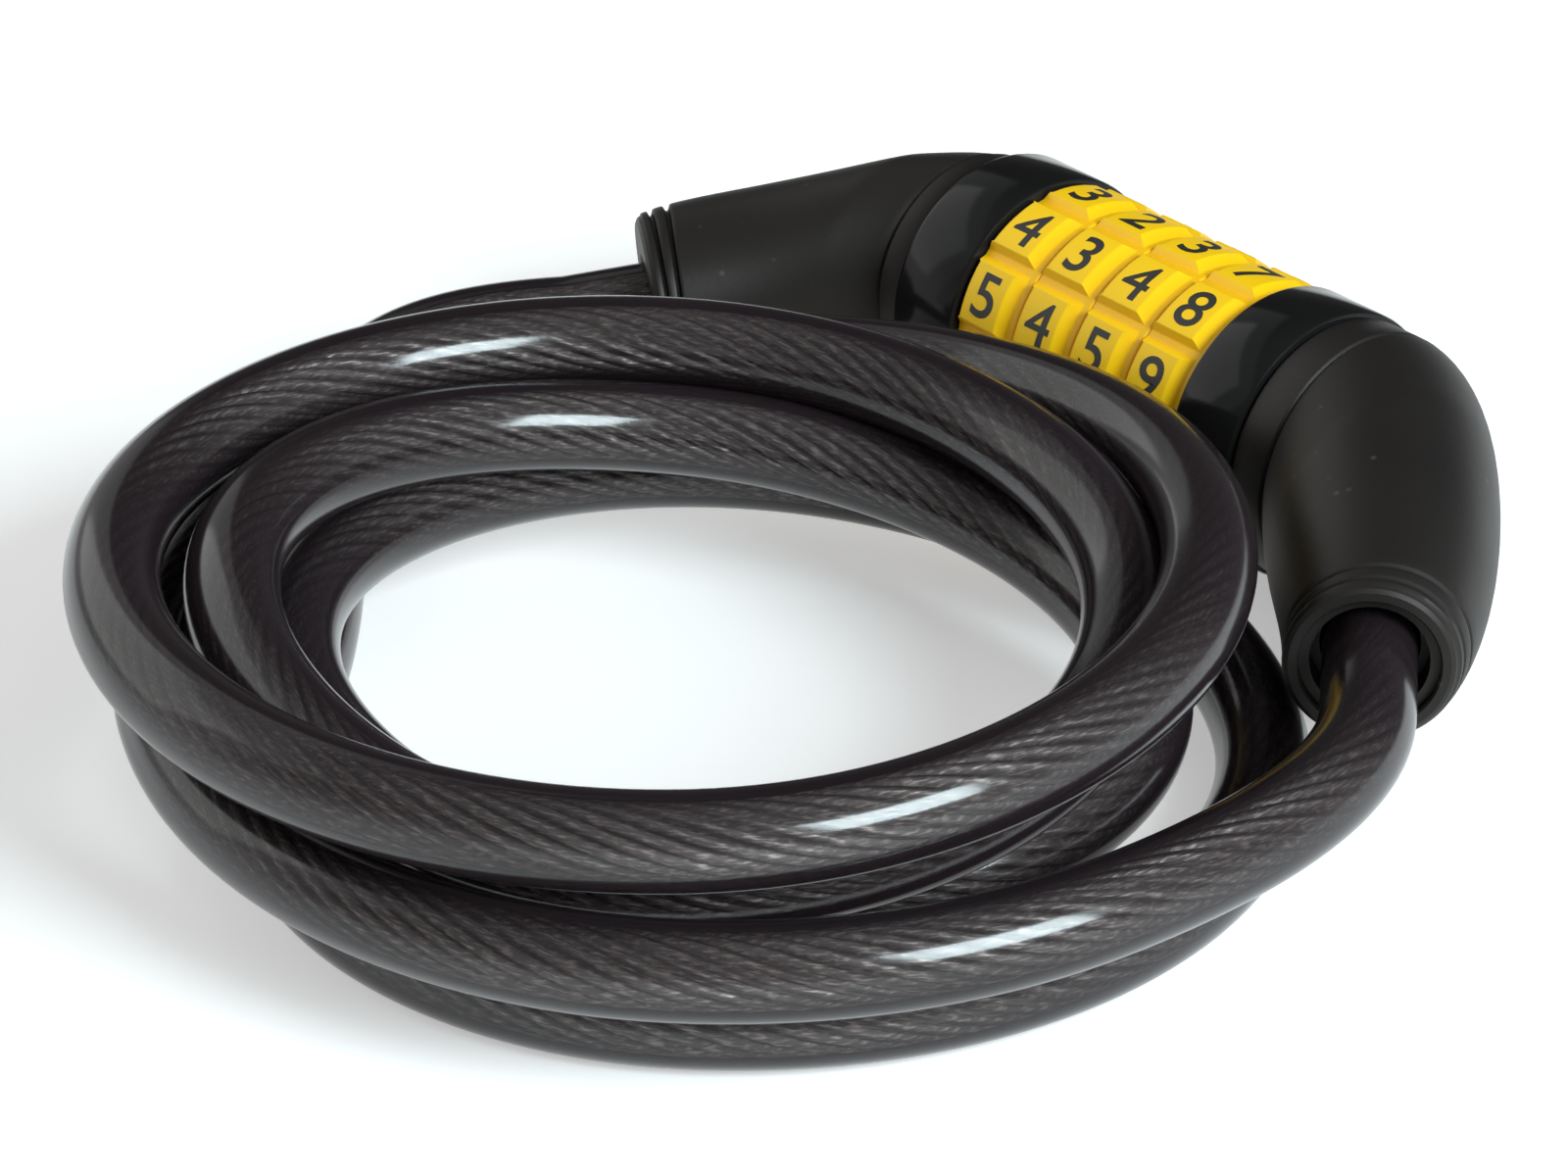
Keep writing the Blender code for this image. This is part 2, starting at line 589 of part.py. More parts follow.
def make_boot(material, steel):
    base = (BOOT_START, 0, AXIS_HEIGHT)
    mouth, direction = housing_axis(1, BOOT_CORNER, BOOT_REACH, BOOT_BEND)
    shape = housing_shape(1, BOOT_BAND, BOOT_RADIUS, mouth, direction, BOOT_MOUTH_RADIUS, BOOT_BULGE)
    boot = add_object("boot", shape, material, base)
    middle = make_anchor("boot", base, mouth, direction, BOOT_SLUG_DEPTH, steel)
    cut_cable_way(boot, mouth, direction, BOOT_SLUG_DEPTH, middle)
    recess = rod(mouth - direction * BOOT_RECESS_DEPTH, direction, BOOT_RECESS_DEPTH + OVERCUT,
                 BOOT_RECESS_RADIUS, HOUSING_SIDES)
    combine(boot, recess, "DIFFERENCE")
    depth = CORE_TAIL + GAP + OVERCUT
    socket = rod((-OVERCUT, 0, 0), Vector((1, 0, 0)), depth, CORE_RADIUS + GAP, ROUND_SIDES)
    combine(boot, socket, "DIFFERENCE")
    pin_x = CORE_TAIL - TAIL_PIN_FROM_END
    span = CORE_RADIUS + CROSS_PIN_HOLD
    pin_hole_from_below(boot, Vector((pin_x, 0, 0)), span)
    pin = rod((pin_x, 0, -span), Vector((0, 0, 1)), 2 * span, CROSS_PIN_RADIUS, PIN_SIDES)
    add_object("boot_retaining_pin", pin, steel, base)
    return boot


def make_cover(material, steel):
    base = (COVER_START, 0, AXIS_HEIGHT)
    mouth, direction = housing_axis(-1, COVER_CORNER, COVER_REACH, COVER_BEND)
    shape = housing_shape(-1, 0.0, COVER_RADIUS, mouth, direction, COVER_MOUTH_RADIUS, COVER_BULGE)
    cover = add_object("plug_cover", shape, material, base)
    cover.rotation_euler.x = COVER_ROLL
    middle = make_anchor("plug", base, mouth, direction, COVER_SLUG_DEPTH, steel, COVER_ROLL)
    cut_cable_way(cover, mouth, direction, COVER_SLUG_DEPTH, middle)
    return cover


# ---------------------------------------------------------------- cable


def add_tube(name, points, radius, resolution, material):
    curve = bpy.data.curves.new(name, "CURVE")
    curve.dimensions = "3D"
    curve.bevel_depth = radius
    curve.bevel_resolution = resolution
    curve.use_fill_caps = True
    spline = curve.splines.new("POLY")
    spline.points.add(len(points) - 1)
    for place, point in zip(spline.points, points):
        place.co = (*point, 1.0)
    curve.materials.append(material)
    obj = bpy.data.objects.new(name, curve)
    bpy.context.scene.collection.objects.link(obj)
    return obj


def between(values, place):
    """Smooth value at a place in quarter turns, through the values at whole quarter turns."""
    index = min(int(place), len(values) - 2)
    t = place - index
    a = values[max(index - 1, 0)]
    b, c = values[index], values[index + 1]
    d = values[min(index + 2, len(values) - 1)]
    return 0.5 * (2 * b + (c - a) * t + (2 * a - 5 * b + 4 * c - d) * t**2 + (3 * b - a - 3 * c + d) * t**3)


def coil_point(place):
    lane = between([s[0] for s in STATIONS], place)
    layer = max(between([s[1] for s in STATIONS], place), 0.0)
    radius = COIL_RADIUS + lane * CABLE_STEP
    angle = COIL_START - place * math.pi / 2
    flat = COIL_CENTRE + Vector((math.cos(angle), math.sin(angle))) * radius
    return Vector((flat.x, flat.y, CABLE_RADIUS + layer * CABLE_STEP))


def coil_heading(place):
    return (coil_point(place + 0.01) - coil_point(place - 0.01)).normalized()


def coil_route():
    """From the boot's slug, straight out of the mouth, round the loops, to the lead's face."""
    base = Vector((BOOT_START, 0, AXIS_HEIGHT))
    mouth, direction = housing_axis(1, BOOT_CORNER, BOOT_REACH, BOOT_BEND)
    first = base + mouth - direction * (BOOT_SLUG_DEPTH - GAP)
    straight_end = base + mouth + direction * CABLE_DIAMETER
    points = [first, base + mouth, straight_end]
    joining, heading = coil_point(COIL_FIRST), coil_heading(COIL_FIRST)
    reach = (joining - straight_end).length / 3
    leaving, arriving = straight_end + direction * reach, joining - heading * reach
    for t in JOIN_PLACES:
        points.append(bezier(straight_end, leaving, arriving, joining, t))
    step = 4 / POINTS_PER_TURN
    count = round((COIL_LAST - COIL_FIRST) / step)
    points += [coil_point(COIL_FIRST + (COIL_LAST - COIL_FIRST) * k / count) for k in range(count + 1)]
    points.append(points[-1] + coil_heading(COIL_LAST) * CABLE_DIAMETER)
    return points


def lead_route():
    """From the coil's end, outward on the surface, up to the plug's slug."""
    heading = coil_heading(COIL_LAST)
    start = coil_point(COIL_LAST) + heading * (CABLE_DIAMETER + GAP)
    roll = Matrix.Rotation(COVER_ROLL, 3, "X")
    mouth, direction = housing_axis(-1, COVER_CORNER, COVER_REACH, COVER_BEND)
    mouth = Vector((COVER_START, 0, AXIS_HEIGHT)) + roll @ mouth
    direction = roll @ direction
    end = mouth - direction * (COVER_SLUG_DEPTH - GAP)
    bend_start = start + heading * CABLE_DIAMETER
    bend_end = mouth + direction * CABLE_DIAMETER
    handle = Vector((direction.x, direction.y, 0)).normalized()
    reach_start, reach_end = LEAD_BULGE
    points = [start]
    for k in range(LEAD_STEPS + 1):
        points.append(bezier(bend_start, bend_start + heading * reach_start,
                             bend_end + handle * reach_end, bend_end, k / LEAD_STEPS))
    return points + [mouth, end]


def least_gap(points, diameter):
    """Smallest clear distance between stretches of the tube that are over half a turn apart."""
    apart = POINTS_PER_TURN // 2
    fine = []
    for a, b in zip(points, points[1:]):
        fine += [a.lerp(b, k / 3) for k in range(3)]
    best = math.inf
    for i, point in enumerate(fine):
        for other in fine[i + 3 * apart:]:
            best = min(best, (point - other).length)
    return best - diameter


def make_cable(material):
    points = coil_route()
    add_tube("cable_coil", points, CABLE_RADIUS, 1, material)
    lead = lead_route()
    add_tube("cable_plug_lead", lead, CABLE_RADIUS, 2, material)
    length = sum((b - a).length for route in (points, lead) for a, b in zip(route, route[1:]))
    print(f"least gap between the coil's turns: {least_gap(points, CABLE_DIAMETER) / MM:.2f} mm")
    print(f"cable length from slug to slug: {length:.3f} m")


# ---------------------------------------------------------------- assembly


def main():
    clear_scene()
    yellow = make_material("dial_yellow", (0.95, 0.62, 0.02), 0.45, 0.0)
    gloss = make_material("ring_gloss_black", (0.02, 0.02, 0.022), 0.18, 0.0)
    matte = make_material("housing_matte_black", (0.03, 0.03, 0.032), 0.6, 0.0)
    jacket = make_material("cable_smoke_jacket", (0.06, 0.05, 0.055), 0.15, 0.0)
    steel = make_material("bright_steel", (0.6, 0.6, 0.6), 0.3, 1.0)
    zinc = make_material("cast_zinc", (0.42, 0.42, 0.43), 0.45, 1.0)
    brass = make_material("gate_brass", (0.72, 0.55, 0.28), 0.35, 1.0)

    make_core(zinc)
    make_end_ring(gloss)
    make_plug_ring(gloss)
    make_snap_ring(steel)
    for index in range(DIAL_COUNT):
        make_dial(index, yellow)
        make_gate_ring(index, brass)
    make_detents(steel, steel)
    make_plug_pin(steel)
    make_collar(matte)
    make_cover(matte, steel)
    make_boot(matte, steel)
    make_cable(jacket)


main()
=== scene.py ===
"""Bicycle cable lock: the dressed pieces, their finishes and the studio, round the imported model.

+X runs along the barrel from the plug to the boot, +Z is up and the coil lies towards -Y.
"""

import math

import bmesh
import bpy
from mathutils import Matrix, Vector


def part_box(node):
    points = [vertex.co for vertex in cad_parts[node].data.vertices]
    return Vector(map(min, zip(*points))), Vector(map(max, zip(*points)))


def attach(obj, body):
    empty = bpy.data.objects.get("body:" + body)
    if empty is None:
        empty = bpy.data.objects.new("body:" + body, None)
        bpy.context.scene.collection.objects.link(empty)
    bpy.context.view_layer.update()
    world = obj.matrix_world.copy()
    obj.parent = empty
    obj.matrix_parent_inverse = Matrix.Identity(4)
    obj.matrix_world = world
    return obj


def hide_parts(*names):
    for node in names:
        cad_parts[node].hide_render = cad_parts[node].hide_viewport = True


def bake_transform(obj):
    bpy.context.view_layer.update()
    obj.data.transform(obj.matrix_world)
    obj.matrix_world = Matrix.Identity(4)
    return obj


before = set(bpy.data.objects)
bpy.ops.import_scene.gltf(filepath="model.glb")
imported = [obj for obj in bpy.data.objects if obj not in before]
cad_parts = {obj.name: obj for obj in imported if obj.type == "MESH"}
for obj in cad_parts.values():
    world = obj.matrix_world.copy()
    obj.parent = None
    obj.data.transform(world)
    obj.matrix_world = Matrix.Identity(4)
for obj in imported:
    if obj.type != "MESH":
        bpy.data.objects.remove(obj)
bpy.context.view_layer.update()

bl_info = {
    "name": "Cable Lock Dresser",
    "version": (1, 0, 0),
    "blender": (4, 5, 0),
    "location": "3D View > Sidebar > Cable Lock",
    "description": "Models and finishes the pieces of a bicycle cable lock round its packed model",
    "category": "Object",
}

MM = 0.001
BARREL = "barrel"
PLUG = "plug"
DIAL_BODIES = ("first_dial", "second_dial", "third_dial", "fourth_dial")
AXIS_HEIGHT = sum(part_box("barrel_core"), Vector()).z / 2


def ends(node):
    """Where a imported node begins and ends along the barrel."""
    low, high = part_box(node)
    return low.x, high.x


BOOT_START = ends("boot")[0]
COVER_START = ends("plug_cover")[1]


# ---------------------------------------------------------------- settings


def length(name, description, default):
    return bpy.props.FloatProperty(
        name=name, description=description, default=default, precision=5, unit="LENGTH"
    )


def angle(name, description, degrees):
    return bpy.props.FloatProperty(
        name=name, description=description, default=math.radians(degrees), subtype="ANGLE"
    )


def colour(name, description, default):
    return bpy.props.FloatVectorProperty(
        name=name, description=description, default=default, size=3, subtype="COLOR", min=0.0, max=1.0
    )


class CableSettings(bpy.types.PropertyGroup):
    """Sizes of the cable and of the way it lies."""

    radius: length("Cable radius", "Outside radius of the jacket", 5.0 * MM)
    turn_gap: length("Gap between turns", "Clear space between neighbouring turns", 0.6 * MM)
    coil_radius: length("Coil radius", "Radius of lane 0", 50.6 * MM)
    coil_start: angle("Coil start", "Direction of station 0 from the coil's middle", 51.4)
    wire_radius: length("Core radius", "Radius to the crowns of the strands", 3.8 * MM)
    wire_dip: length("Strand dip", "Depth of the grooves between strands", 0.75 * MM)
    wire_lay: length("Lay", "Length in which a strand goes once round", 58.0 * MM)
    strands: bpy.props.IntProperty(name="Strands", description="Strands in the outer layer", default=14)
    jacket_sides: bpy.props.IntProperty(name="Jacket sides", description="Facets round it", default=40)
    step: length("Step", "Spacing of the rings along the cable", 2.0 * MM)


class HousingSettings(bpy.types.PropertyGroup):
    """Sizes of the boot and of the plug's cover."""

    boot_corner: length("Boot corner", "From the boot's start to its corner", 7.3 * MM)
    boot_reach: length("Boot reach", "From the corner to the mouth", 44.9 * MM)
    boot_bend: angle("Boot bend", "Turn at the boot's corner", 45.0)
    boot_radius: length("Boot radius", "Radius at the barrel", 15.4 * MM)
    boot_mouth: length("Boot mouth", "Outside radius of the mouth", 9.1 * MM)
    boot_bulge: length("Boot bulge", "How far the outer side runs on before it turns", 8.5 * MM)
    boot_fullness: length("Boot fullness", "How far before its mouth the outer side turns", 12.0 * MM)
    boot_flare: length("Boot flare", "How far beside the mouth that turn is aimed", 5.5 * MM)
    boot_band: length("Boot band", "Width of the band at the barrel", 5.5 * MM)
    boot_recess: length("Boot recess", "Radius of the wide hole in the mouth", 7.4 * MM)
    recess_depth: length("Recess depth", "Depth of the wide hole", 5.0 * MM)
    cover_corner: length("Cover corner", "From the cover's start to its corner", 4.5 * MM)
    cover_reach: length("Cover reach", "From the corner to the mouth", 35.6 * MM)
    cover_bend: angle("Cover bend", "Turn at the cover's corner", 59.4)
    cover_radius: length("Cover radius", "Radius at the collar", 13.9 * MM)
    cover_mouth: length("Cover mouth", "Outside radius of the mouth", 10.5 * MM)
    cover_bulge: length("Cover bulge", "How far the outer side runs on before it turns", 6.0 * MM)
    cover_fullness: length("Cover fullness", "How far before its mouth the outer side turns", 9.0 * MM)
    cover_flare: length("Cover flare", "How far beside the mouth that turn is aimed", 4.0 * MM)
    cover_roll: angle("Cover roll", "Turn of the cover about the barrel", 7.9)
    boot_slug_depth: length("Boot slug depth", "From the boot's mouth to the slug", 26.5 * MM)
    cover_slug_depth: length("Cover slug depth", "From the cover's mouth to the slug", 20.5 * MM)
    groove_depth: length("Groove depth", "Depth of the decorative grooves", 0.55 * MM)
    groove_width: length("Groove width", "Width of the decorative grooves", 0.7 * MM)


class DialSettings(bpy.types.PropertyGroup):
    """Sizes of the dials, their figures and the rings beside them."""

    radius: length("Dial radius", "Radius over the pads", 15.45 * MM)
    bore: length("Dial bore", "Radius of the hole", 12.0 * MM)
    groove: length("Pad groove", "Depth of the grooves between pads", 0.8 * MM)
    valley: length("Valley", "Width of the low band beside the pads", 2.2 * MM)
    valley_slope: length("Valley slope", "Part of that width that slopes", 1.1 * MM)
    pad_phase: angle("Pad phase", "Angle of a pad from the top, towards the coil", 27.0)
    figure_height: length("Figure height", "Height of a figure", 5.4 * MM)
    closeness: length("Closeness", "By which each side of a dial is nearer to the next", 0.1 * MM)
    figure_stroke: length("Figure stroke", "By which strokes are thickened", 0.08 * MM)
    ring_radius: length("Ring radius", "Radius of the glossy rings", 15.9 * MM)
    collar_radius: length("Collar radius", "Radius of the plug's collar", 14.2 * MM)


class FinishSettings(bpy.types.PropertyGroup):
    """Colours of the pieces and of the studio."""

    yellow: colour("Dial yellow", "Moulded dials", (1.0, 0.60, 0.005))
    figure: colour("Figure black", "Paint in the figures", (0.02, 0.018, 0.016))
    housing: colour("Housing black", "Soft matt housings", (0.013, 0.0108, 0.0102))
    ring: colour("Ring black", "Glossy rings", (0.008, 0.0075, 0.0075))
    jacket: colour("Jacket", "Smoky clear jacket", (0.0158, 0.0106, 0.0126))
    strand: colour("Strands", "Steel strands in the cable", (0.44, 0.37, 0.35))
    steel: colour("Steel", "Turned steel", (0.62, 0.62, 0.62))
    zinc: colour("Zinc", "Die-cast core", (0.42, 0.42, 0.43))
    brass: colour("Brass", "Gate rings", (0.72, 0.55, 0.28))
    floor: colour("Floor", "Pale studio floor", (0.80, 0.80, 0.80))
    # Partly painted shade: the deeper orange of the grooves between the pads is partly the moulding's tone,
    # partly the shade in them.
    valley: colour("Valley", "Deeper orange between the pads", (1.0, 0.54, 0.004))
    stain: colour("Stain", "Dull places on the dials", (0.70, 0.36, 0.01))
    scuff: colour("Scuff", "Small pale scuffs on the housings", (0.16, 0.16, 0.16))
    # Painted shade: the colour that darkens the grooves between strands.
    strand_groove: colour("Strand groove", "Dark grooves between strands", (0.01, 0.009, 0.009))


# Stations of the coil at each quarter turn from the boot: lanes are cable widths out from the
# coil's radius, layers are cable widths up from the surface.
COIL_CENTRE = Vector((-2.3, -86.4)) * MM
STATIONS = (
    (1.77, 1.03), (0.92, 0.97), (0.31, 1.13), (1.26, 1.37),
    (0.38, 2.22), (0.56, 2.10), (0.69, 2.28), (-0.06, 2.20),
    (-0.39, 1.65), (-0.23, 1.24), (-0.45, 2.12), (-0.68, 1.49),
    (-0.19, 0.54), (-1.28, 0.40), (-0.98, 1.01), (0.20, 0.66),
    (0.98, 0.00), (0.16, 0.00), (-0.81, 0.00), (-0.74, 0.04),
)
COIL_FIRST = 0.55  # places in quarter turns at which the loops begin and end
COIL_LAST = 18.0
LEAD_HANDLES = (42.0 * MM, 38.0 * MM)  # reach of the lead's bend, at the coil and at the cover
GAP = 0.3 * MM  # clearance to the slugs
EXIT_DEPTH = 8.0 * MM  # how deep in the boot's mouth the cord's exit lies
STRAND_ROUNDNESS = 0.96  # 1 for strands as round as half circles


# ---------------------------------------------------------------- helpers


def activate(obj=None):
    """Leaves edit mode and selects this object alone, or none."""
    if bpy.context.object and bpy.context.object.mode != "OBJECT":
        bpy.ops.object.mode_set(mode="OBJECT")
    bpy.ops.object.select_all(action="DESELECT")
    if obj:
        obj.select_set(True)
        bpy.context.view_layer.objects.active = obj


def edit_faces(obj, wanted):
    """Enters edit mode with the faces selected whose middle and normal pass the test."""
    activate(obj)
    bpy.context.tool_settings.mesh_select_mode = (False, False, True)
    mesh = obj.data
    for items in (mesh.vertices, mesh.edges, mesh.polygons):
        for item in items:
            item.select = False
    for face in mesh.polygons:
        face.select = wanted(face.center, face.normal)
    bpy.ops.object.mode_set(mode="EDIT")


def settle(obj, name, smooth=30.0):
    """Names a finished piece, puts its place into its mesh and smooths it by angle."""
    activate(obj)
    bpy.ops.object.transform_apply()
    bpy.ops.object.shade_smooth_by_angle(angle=math.radians(smooth))
    obj.name = obj.data.name = name
    return obj


def apply_modifier(obj, kind, **settings):
    """Adds a modifier with these settings and applies it."""
    modifier = obj.modifiers.new(kind.lower(), kind)
    for key, value in settings.items():
        setattr(modifier, key, value)
    activate(obj)
    bpy.ops.object.modifier_apply(modifier=modifier.name)


def finish_piece(obj, material, body, slot, *nodes):
    """Gives a piece its material, the body it moves with and the nodes that it stands for."""
    obj.data.materials.clear()
    obj.data.materials.append(material)
    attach(obj, body)
    if nodes:
        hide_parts(*nodes)


def bezier(a, b, c, d, t):
    s = 1.0 - t
    return a * s**3 + b * 3 * s * s * t + c * 3 * s * t * t + d * t**3


# ---------------------------------------------------------------- finishes


def add_node(tree, kind, settings=None, **inputs):
    """A node with its properties set and its inputs set or linked, by their names."""
    node = tree.nodes.new(kind)
    for key, value in (settings or {}).items():
        setattr(node, key, value)
    for key, value in inputs.items():
        put(node, key.replace("_", " "), value)
    return node


def put(node, socket, value):
    """Sets or links an input, found by its number or by its name among those in use."""
    if isinstance(socket, int):
        target = node.inputs[socket]
    else:
        target = next(s for s in node.inputs if s.name == socket and s.enabled)
    if isinstance(value, bpy.types.NodeSocket):
        node.id_data.links.new(value, target)
    else:
        target.default_value = value


def maths(tree, operation, first, second):
    node = add_node(tree, "ShaderNodeMath", {"operation": operation})
    put(node, 0, first)
    put(node, 1, second)
    return node.outputs[0]


def ramp(tree, value, span=(0.0, 1.0), onto=(0.0, 1.0), kind="LINEAR"):
    """Maps a value's span onto another, and holds it at the ends."""
    node = add_node(tree, "ShaderNodeMapRange", {"clamp": True, "interpolation_type": kind})
    names = ("Value", "From Min", "From Max", "To Min", "To Max")
    for name, given in zip(names, (value, *span, *onto)):
        put(node, name, given)
    return node.outputs["Result"]


def blend_colours(tree, mask, first, second):
    node = add_node(tree, "ShaderNodeMix", {"data_type": "RGBA"}, Factor=mask, A=first, B=second)
    return next(s for s in node.outputs if s.enabled)


def shade(rgb, factor=1.0):
    return (*(min(1.0, c * factor) for c in rgb), 1.0)


def moulded_surface():
    """Fine grain, broad cloudiness and stray specks, from 0 to 1, by the surface's own place."""
    name = "Moulded surface"
    if name in bpy.data.node_groups:
        return bpy.data.node_groups[name]
    group = bpy.data.node_groups.new(name, "ShaderNodeTree")
    for way, sockets in (("INPUT", ("Grain size", "Cloud size")), ("OUTPUT", ("Grain", "Cloud", "Specks"))):
        for socket in sockets:
            group.interface.new_socket(socket, in_out=way, socket_type="NodeSocketFloat")
    given = group.nodes.new("NodeGroupInput").outputs
    place = add_node(group, "ShaderNodeTexCoord").outputs["Object"]
    grain = add_node(group, "ShaderNodeTexNoise", Vector=place, Scale=given["Grain size"], Detail=3.0)
    cloud = add_node(group, "ShaderNodeTexNoise", Vector=place, Scale=given["Cloud size"], Detail=4.0)
    dots = add_node(group, "ShaderNodeTexVoronoi", Vector=place, Scale=220.0, Randomness=1.0)
    specks = ramp(group, dots.outputs["Distance"], (0.10, 0.02))
    add_node(
        group, "NodeGroupOutput", Grain=grain.outputs["Fac"], Cloud=cloud.outputs["Fac"], Specks=specks
    )
    return group


def new_material(name):
    """A material, its node tree and its Principled shader."""
    material = bpy.data.materials.new(name)
    material.use_nodes = True
    return material, material.node_tree, material.node_tree.nodes["Principled BSDF"]


def drift(rgb, low, high):
    """Colours for moulded(): from one shade to another with the cloudiness."""
    return lambda tree, marks: blend_colours(tree, marks["Cloud"], shade(rgb, low), shade(rgb, high))


def moulded(name, surface, colours, roughness, bump=None, rough_by="Cloud", **inputs):
    """A finish that drifts a little over a fine grain. Its surface is the scales of grain and clouds,
    colours(tree, marks) is its colour, and bump is the grain's strength and depth."""
    material, tree, shader = new_material(name)
    settings = {"node_tree": moulded_surface()}
    marks = add_node(tree, "ShaderNodeGroup", settings, Grain_size=surface[0], Cloud_size=surface[1]).outputs
    put(shader, "Base Color", colours(tree, marks))
    put(shader, "Roughness", ramp(tree, marks[rough_by], onto=roughness))
    if bump:
        relief = add_node(tree, "ShaderNodeBump", Height=marks["Grain"], Strength=bump[0], Distance=bump[1])
        put(shader, "Normal", relief.outputs["Normal"])
    for key, value in inputs.items():
        put(shader, key.replace("_", " "), value)
    return material


def metal(name, rgb, roughness):
    span = (roughness * 0.7, roughness * 1.3)
    return moulded(
        name, (1500.0, 120.0), drift(rgb, 0.85, 1.1), span, (0.3, 0.02 * MM), "Grain", Metallic=1.0
    )


def gloss_material(finish):
    """Glossy black moulding, with faint handling haze."""
    colours = drift(finish.ring, 0.8, 1.3)
    return moulded(
        "glossy_black", (500.0, 35.0), colours, (0.06, 0.20), (0.15, 0.01 * MM), Specular_IOR_Level=0.16
    )


def housing_material(finish):
    """Soft matt black moulding: fine grain, a faint sheen and small pale scuffs."""
    name = "soft_matt_black"
    if name in bpy.data.materials:
        return bpy.data.materials[name]

    def colours(tree, marks):
        plain = drift(finish.housing, 0.75, 1.25)(tree, marks)
        stray = ramp(tree, marks["Specks"], onto=(0.0, 0.3))
        return blend_colours(tree, stray, plain, shade(finish.scuff))

    return moulded(
        name, (1400.0, 40.0), colours, (0.40, 0.54), (0.5, 0.03 * MM),
        Specular_IOR_Level=0.27, Specular_Tint=(1.0, 0.93, 0.88, 1.0),
    )


def dial_material(finish, sizes):
    """Satin yellow moulding, painted a deeper orange in the grooves between the pads: partly its own tone,
    partly painted shade.
    """

    def colours(tree, marks):
        place = add_node(tree, "ShaderNodeTexCoord").outputs["Object"]
        split = add_node(tree, "ShaderNodeSeparateXYZ", Vector=place).outputs
        flat = add_node(
            tree, "ShaderNodeCombineXYZ", X=split["Y"], Y=maths(tree, "SUBTRACT", split["Z"], AXIS_HEIGHT)
        )
        out = add_node(tree, "ShaderNodeVectorMath", {"operation": "LENGTH"}, Vector=flat.outputs["Vector"])
        span = (sizes.radius - sizes.groove, sizes.radius - 0.1 * MM)
        height = ramp(tree, out.outputs["Value"], span, kind="SMOOTHSTEP")
        # Partly painted shade: lower down, towards the groove floor, the colour turns to the deeper orange.
        tint = blend_colours(tree, height, shade(finish.valley), shade(finish.yellow))
        dull = ramp(tree, marks["Cloud"], onto=(0.0, 0.12))
        return blend_colours(tree, dull, tint, shade(finish.stain))

    return moulded(
        "dial_yellow", (800.0, 60.0), colours, (0.34, 0.46), (0.4, 0.02 * MM), Specular_IOR_Level=0.3
    )


def jacket_material(finish):
    """Smoky clear plastic, a little cloudy, which darkens where it is looked through at a slant."""
    colours = drift(finish.jacket, 0.7, 1.3)
    material = moulded("smoky_jacket", (700.0, 30.0), colours, (0.12, 0.18), IOR=1.48)
    tree = material.node_tree
    slant = add_node(tree, "ShaderNodeLayerWeight", Blend=0.5).outputs["Facing"]
    clear = ramp(tree, slant, (0.06, 0.66), (0.48, 0.98), "SMOOTHSTEP")
    backs = add_node(tree, "ShaderNodeNewGeometry").outputs["Backfacing"]
    seen = add_node(tree, "ShaderNodeLightPath").outputs["Is Camera Ray"]
    opacity = maths(tree, "MAXIMUM", clear, maths(tree, "MULTIPLY", backs, seen))
    shader = tree.nodes["Principled BSDF"]
    put(shader, "Alpha", opacity)
    put(shader, "Specular IOR Level", maths(tree, "DIVIDE", 0.5, opacity))
    return material


def strand_material(finish, cable):
    """Steel wire: short painted glints run across each strand, and painted shade darkens the grooves between
    strands.
    """
    material, tree, shader = new_material("steel_strands")
    along = add_node(tree, "ShaderNodeUVMap", {"uv_map": "Lay"}).outputs["UV"]
    place = along
    for settings in ({"Rotation": (0.0, 0.0, math.radians(-14))}, {"Scale": (4200.0, 620.0, 1.0)}):
        place = add_node(tree, "ShaderNodeMapping", Vector=place, **settings).outputs["Vector"]
    noise = add_node(tree, "ShaderNodeTexNoise", Vector=place, Scale=1.0, Detail=2.0).outputs["Fac"]
    # Painted highlights: short bright dashes in the colour stand for glints on the wires; there the steel is
    # also smoother.
    painted_glints = ramp(tree, noise, (0.48, 0.74))
    pitch = math.tau * cable.wire_radius / cable.strands
    across = add_node(tree, "ShaderNodeSeparateXYZ", Vector=along).outputs["X"]
    ridge = maths(tree, "PINGPONG", across, pitch / 2)
    # Painted shade: towards the grooves between strands the colour turns dark, on top of the strands' real
    # relief.
    crown = ramp(tree, ridge, (0.0, pitch * 0.32), (0.26, 1.0), "SMOOTHSTEP")
    wire = blend_colours(tree, painted_glints, shade(finish.strand, 0.50), shade(finish.strand, 1.75))
    put(shader, "Base Color", blend_colours(tree, crown, shade(finish.strand_groove), wire))
    put(shader, "Metallic", 0.6)
    put(shader, "Roughness", ramp(tree, painted_glints, onto=(0.6, 0.36)))
    relief = add_node(tree, "ShaderNodeBump", Height=noise, Strength=0.8, Distance=0.12 * MM)
    put(shader, "Normal", relief.outputs["Normal"])
    return material


# ---------------------------------------------------------------- the studio


CAMERA_PLACE = Vector((414.8, -411.5, 306.9)) * MM
CAMERA_AIM = Vector((-30.7, -49.4, 0.0)) * MM
LENS = 133.2  # mm, on a sensor 36 mm wide
LAMP_AIM = Vector((-15.0, -60.0, 10.0)) * MM
LAMPS = (  # name, place, size, power and tint
    ("window", (0.94, 0.02, 0.62), (0.54, 0.46), 17.5, (0.82, 0.96, 1.0)),
    ("wall", (-1.10, -0.40, 0.64), (1.3, 0.9), 3.4, (0.96, 1.0, 0.97)),
    ("wide_wall", (-1.30, -0.48, 0.70), (2.6, 1.9), 5.6, (0.97, 1.0, 0.98)),
)
ROOM_BACK = (-0.776, 0.631, 0.0)  # direction of the room's dim side, away from the camera
WHITE = (1.0, 1.0, 1.0, 1.0)


def aim(obj, target):
    obj.rotation_euler = (target - obj.location).to_track_quat("-Z", "Y").to_euler()


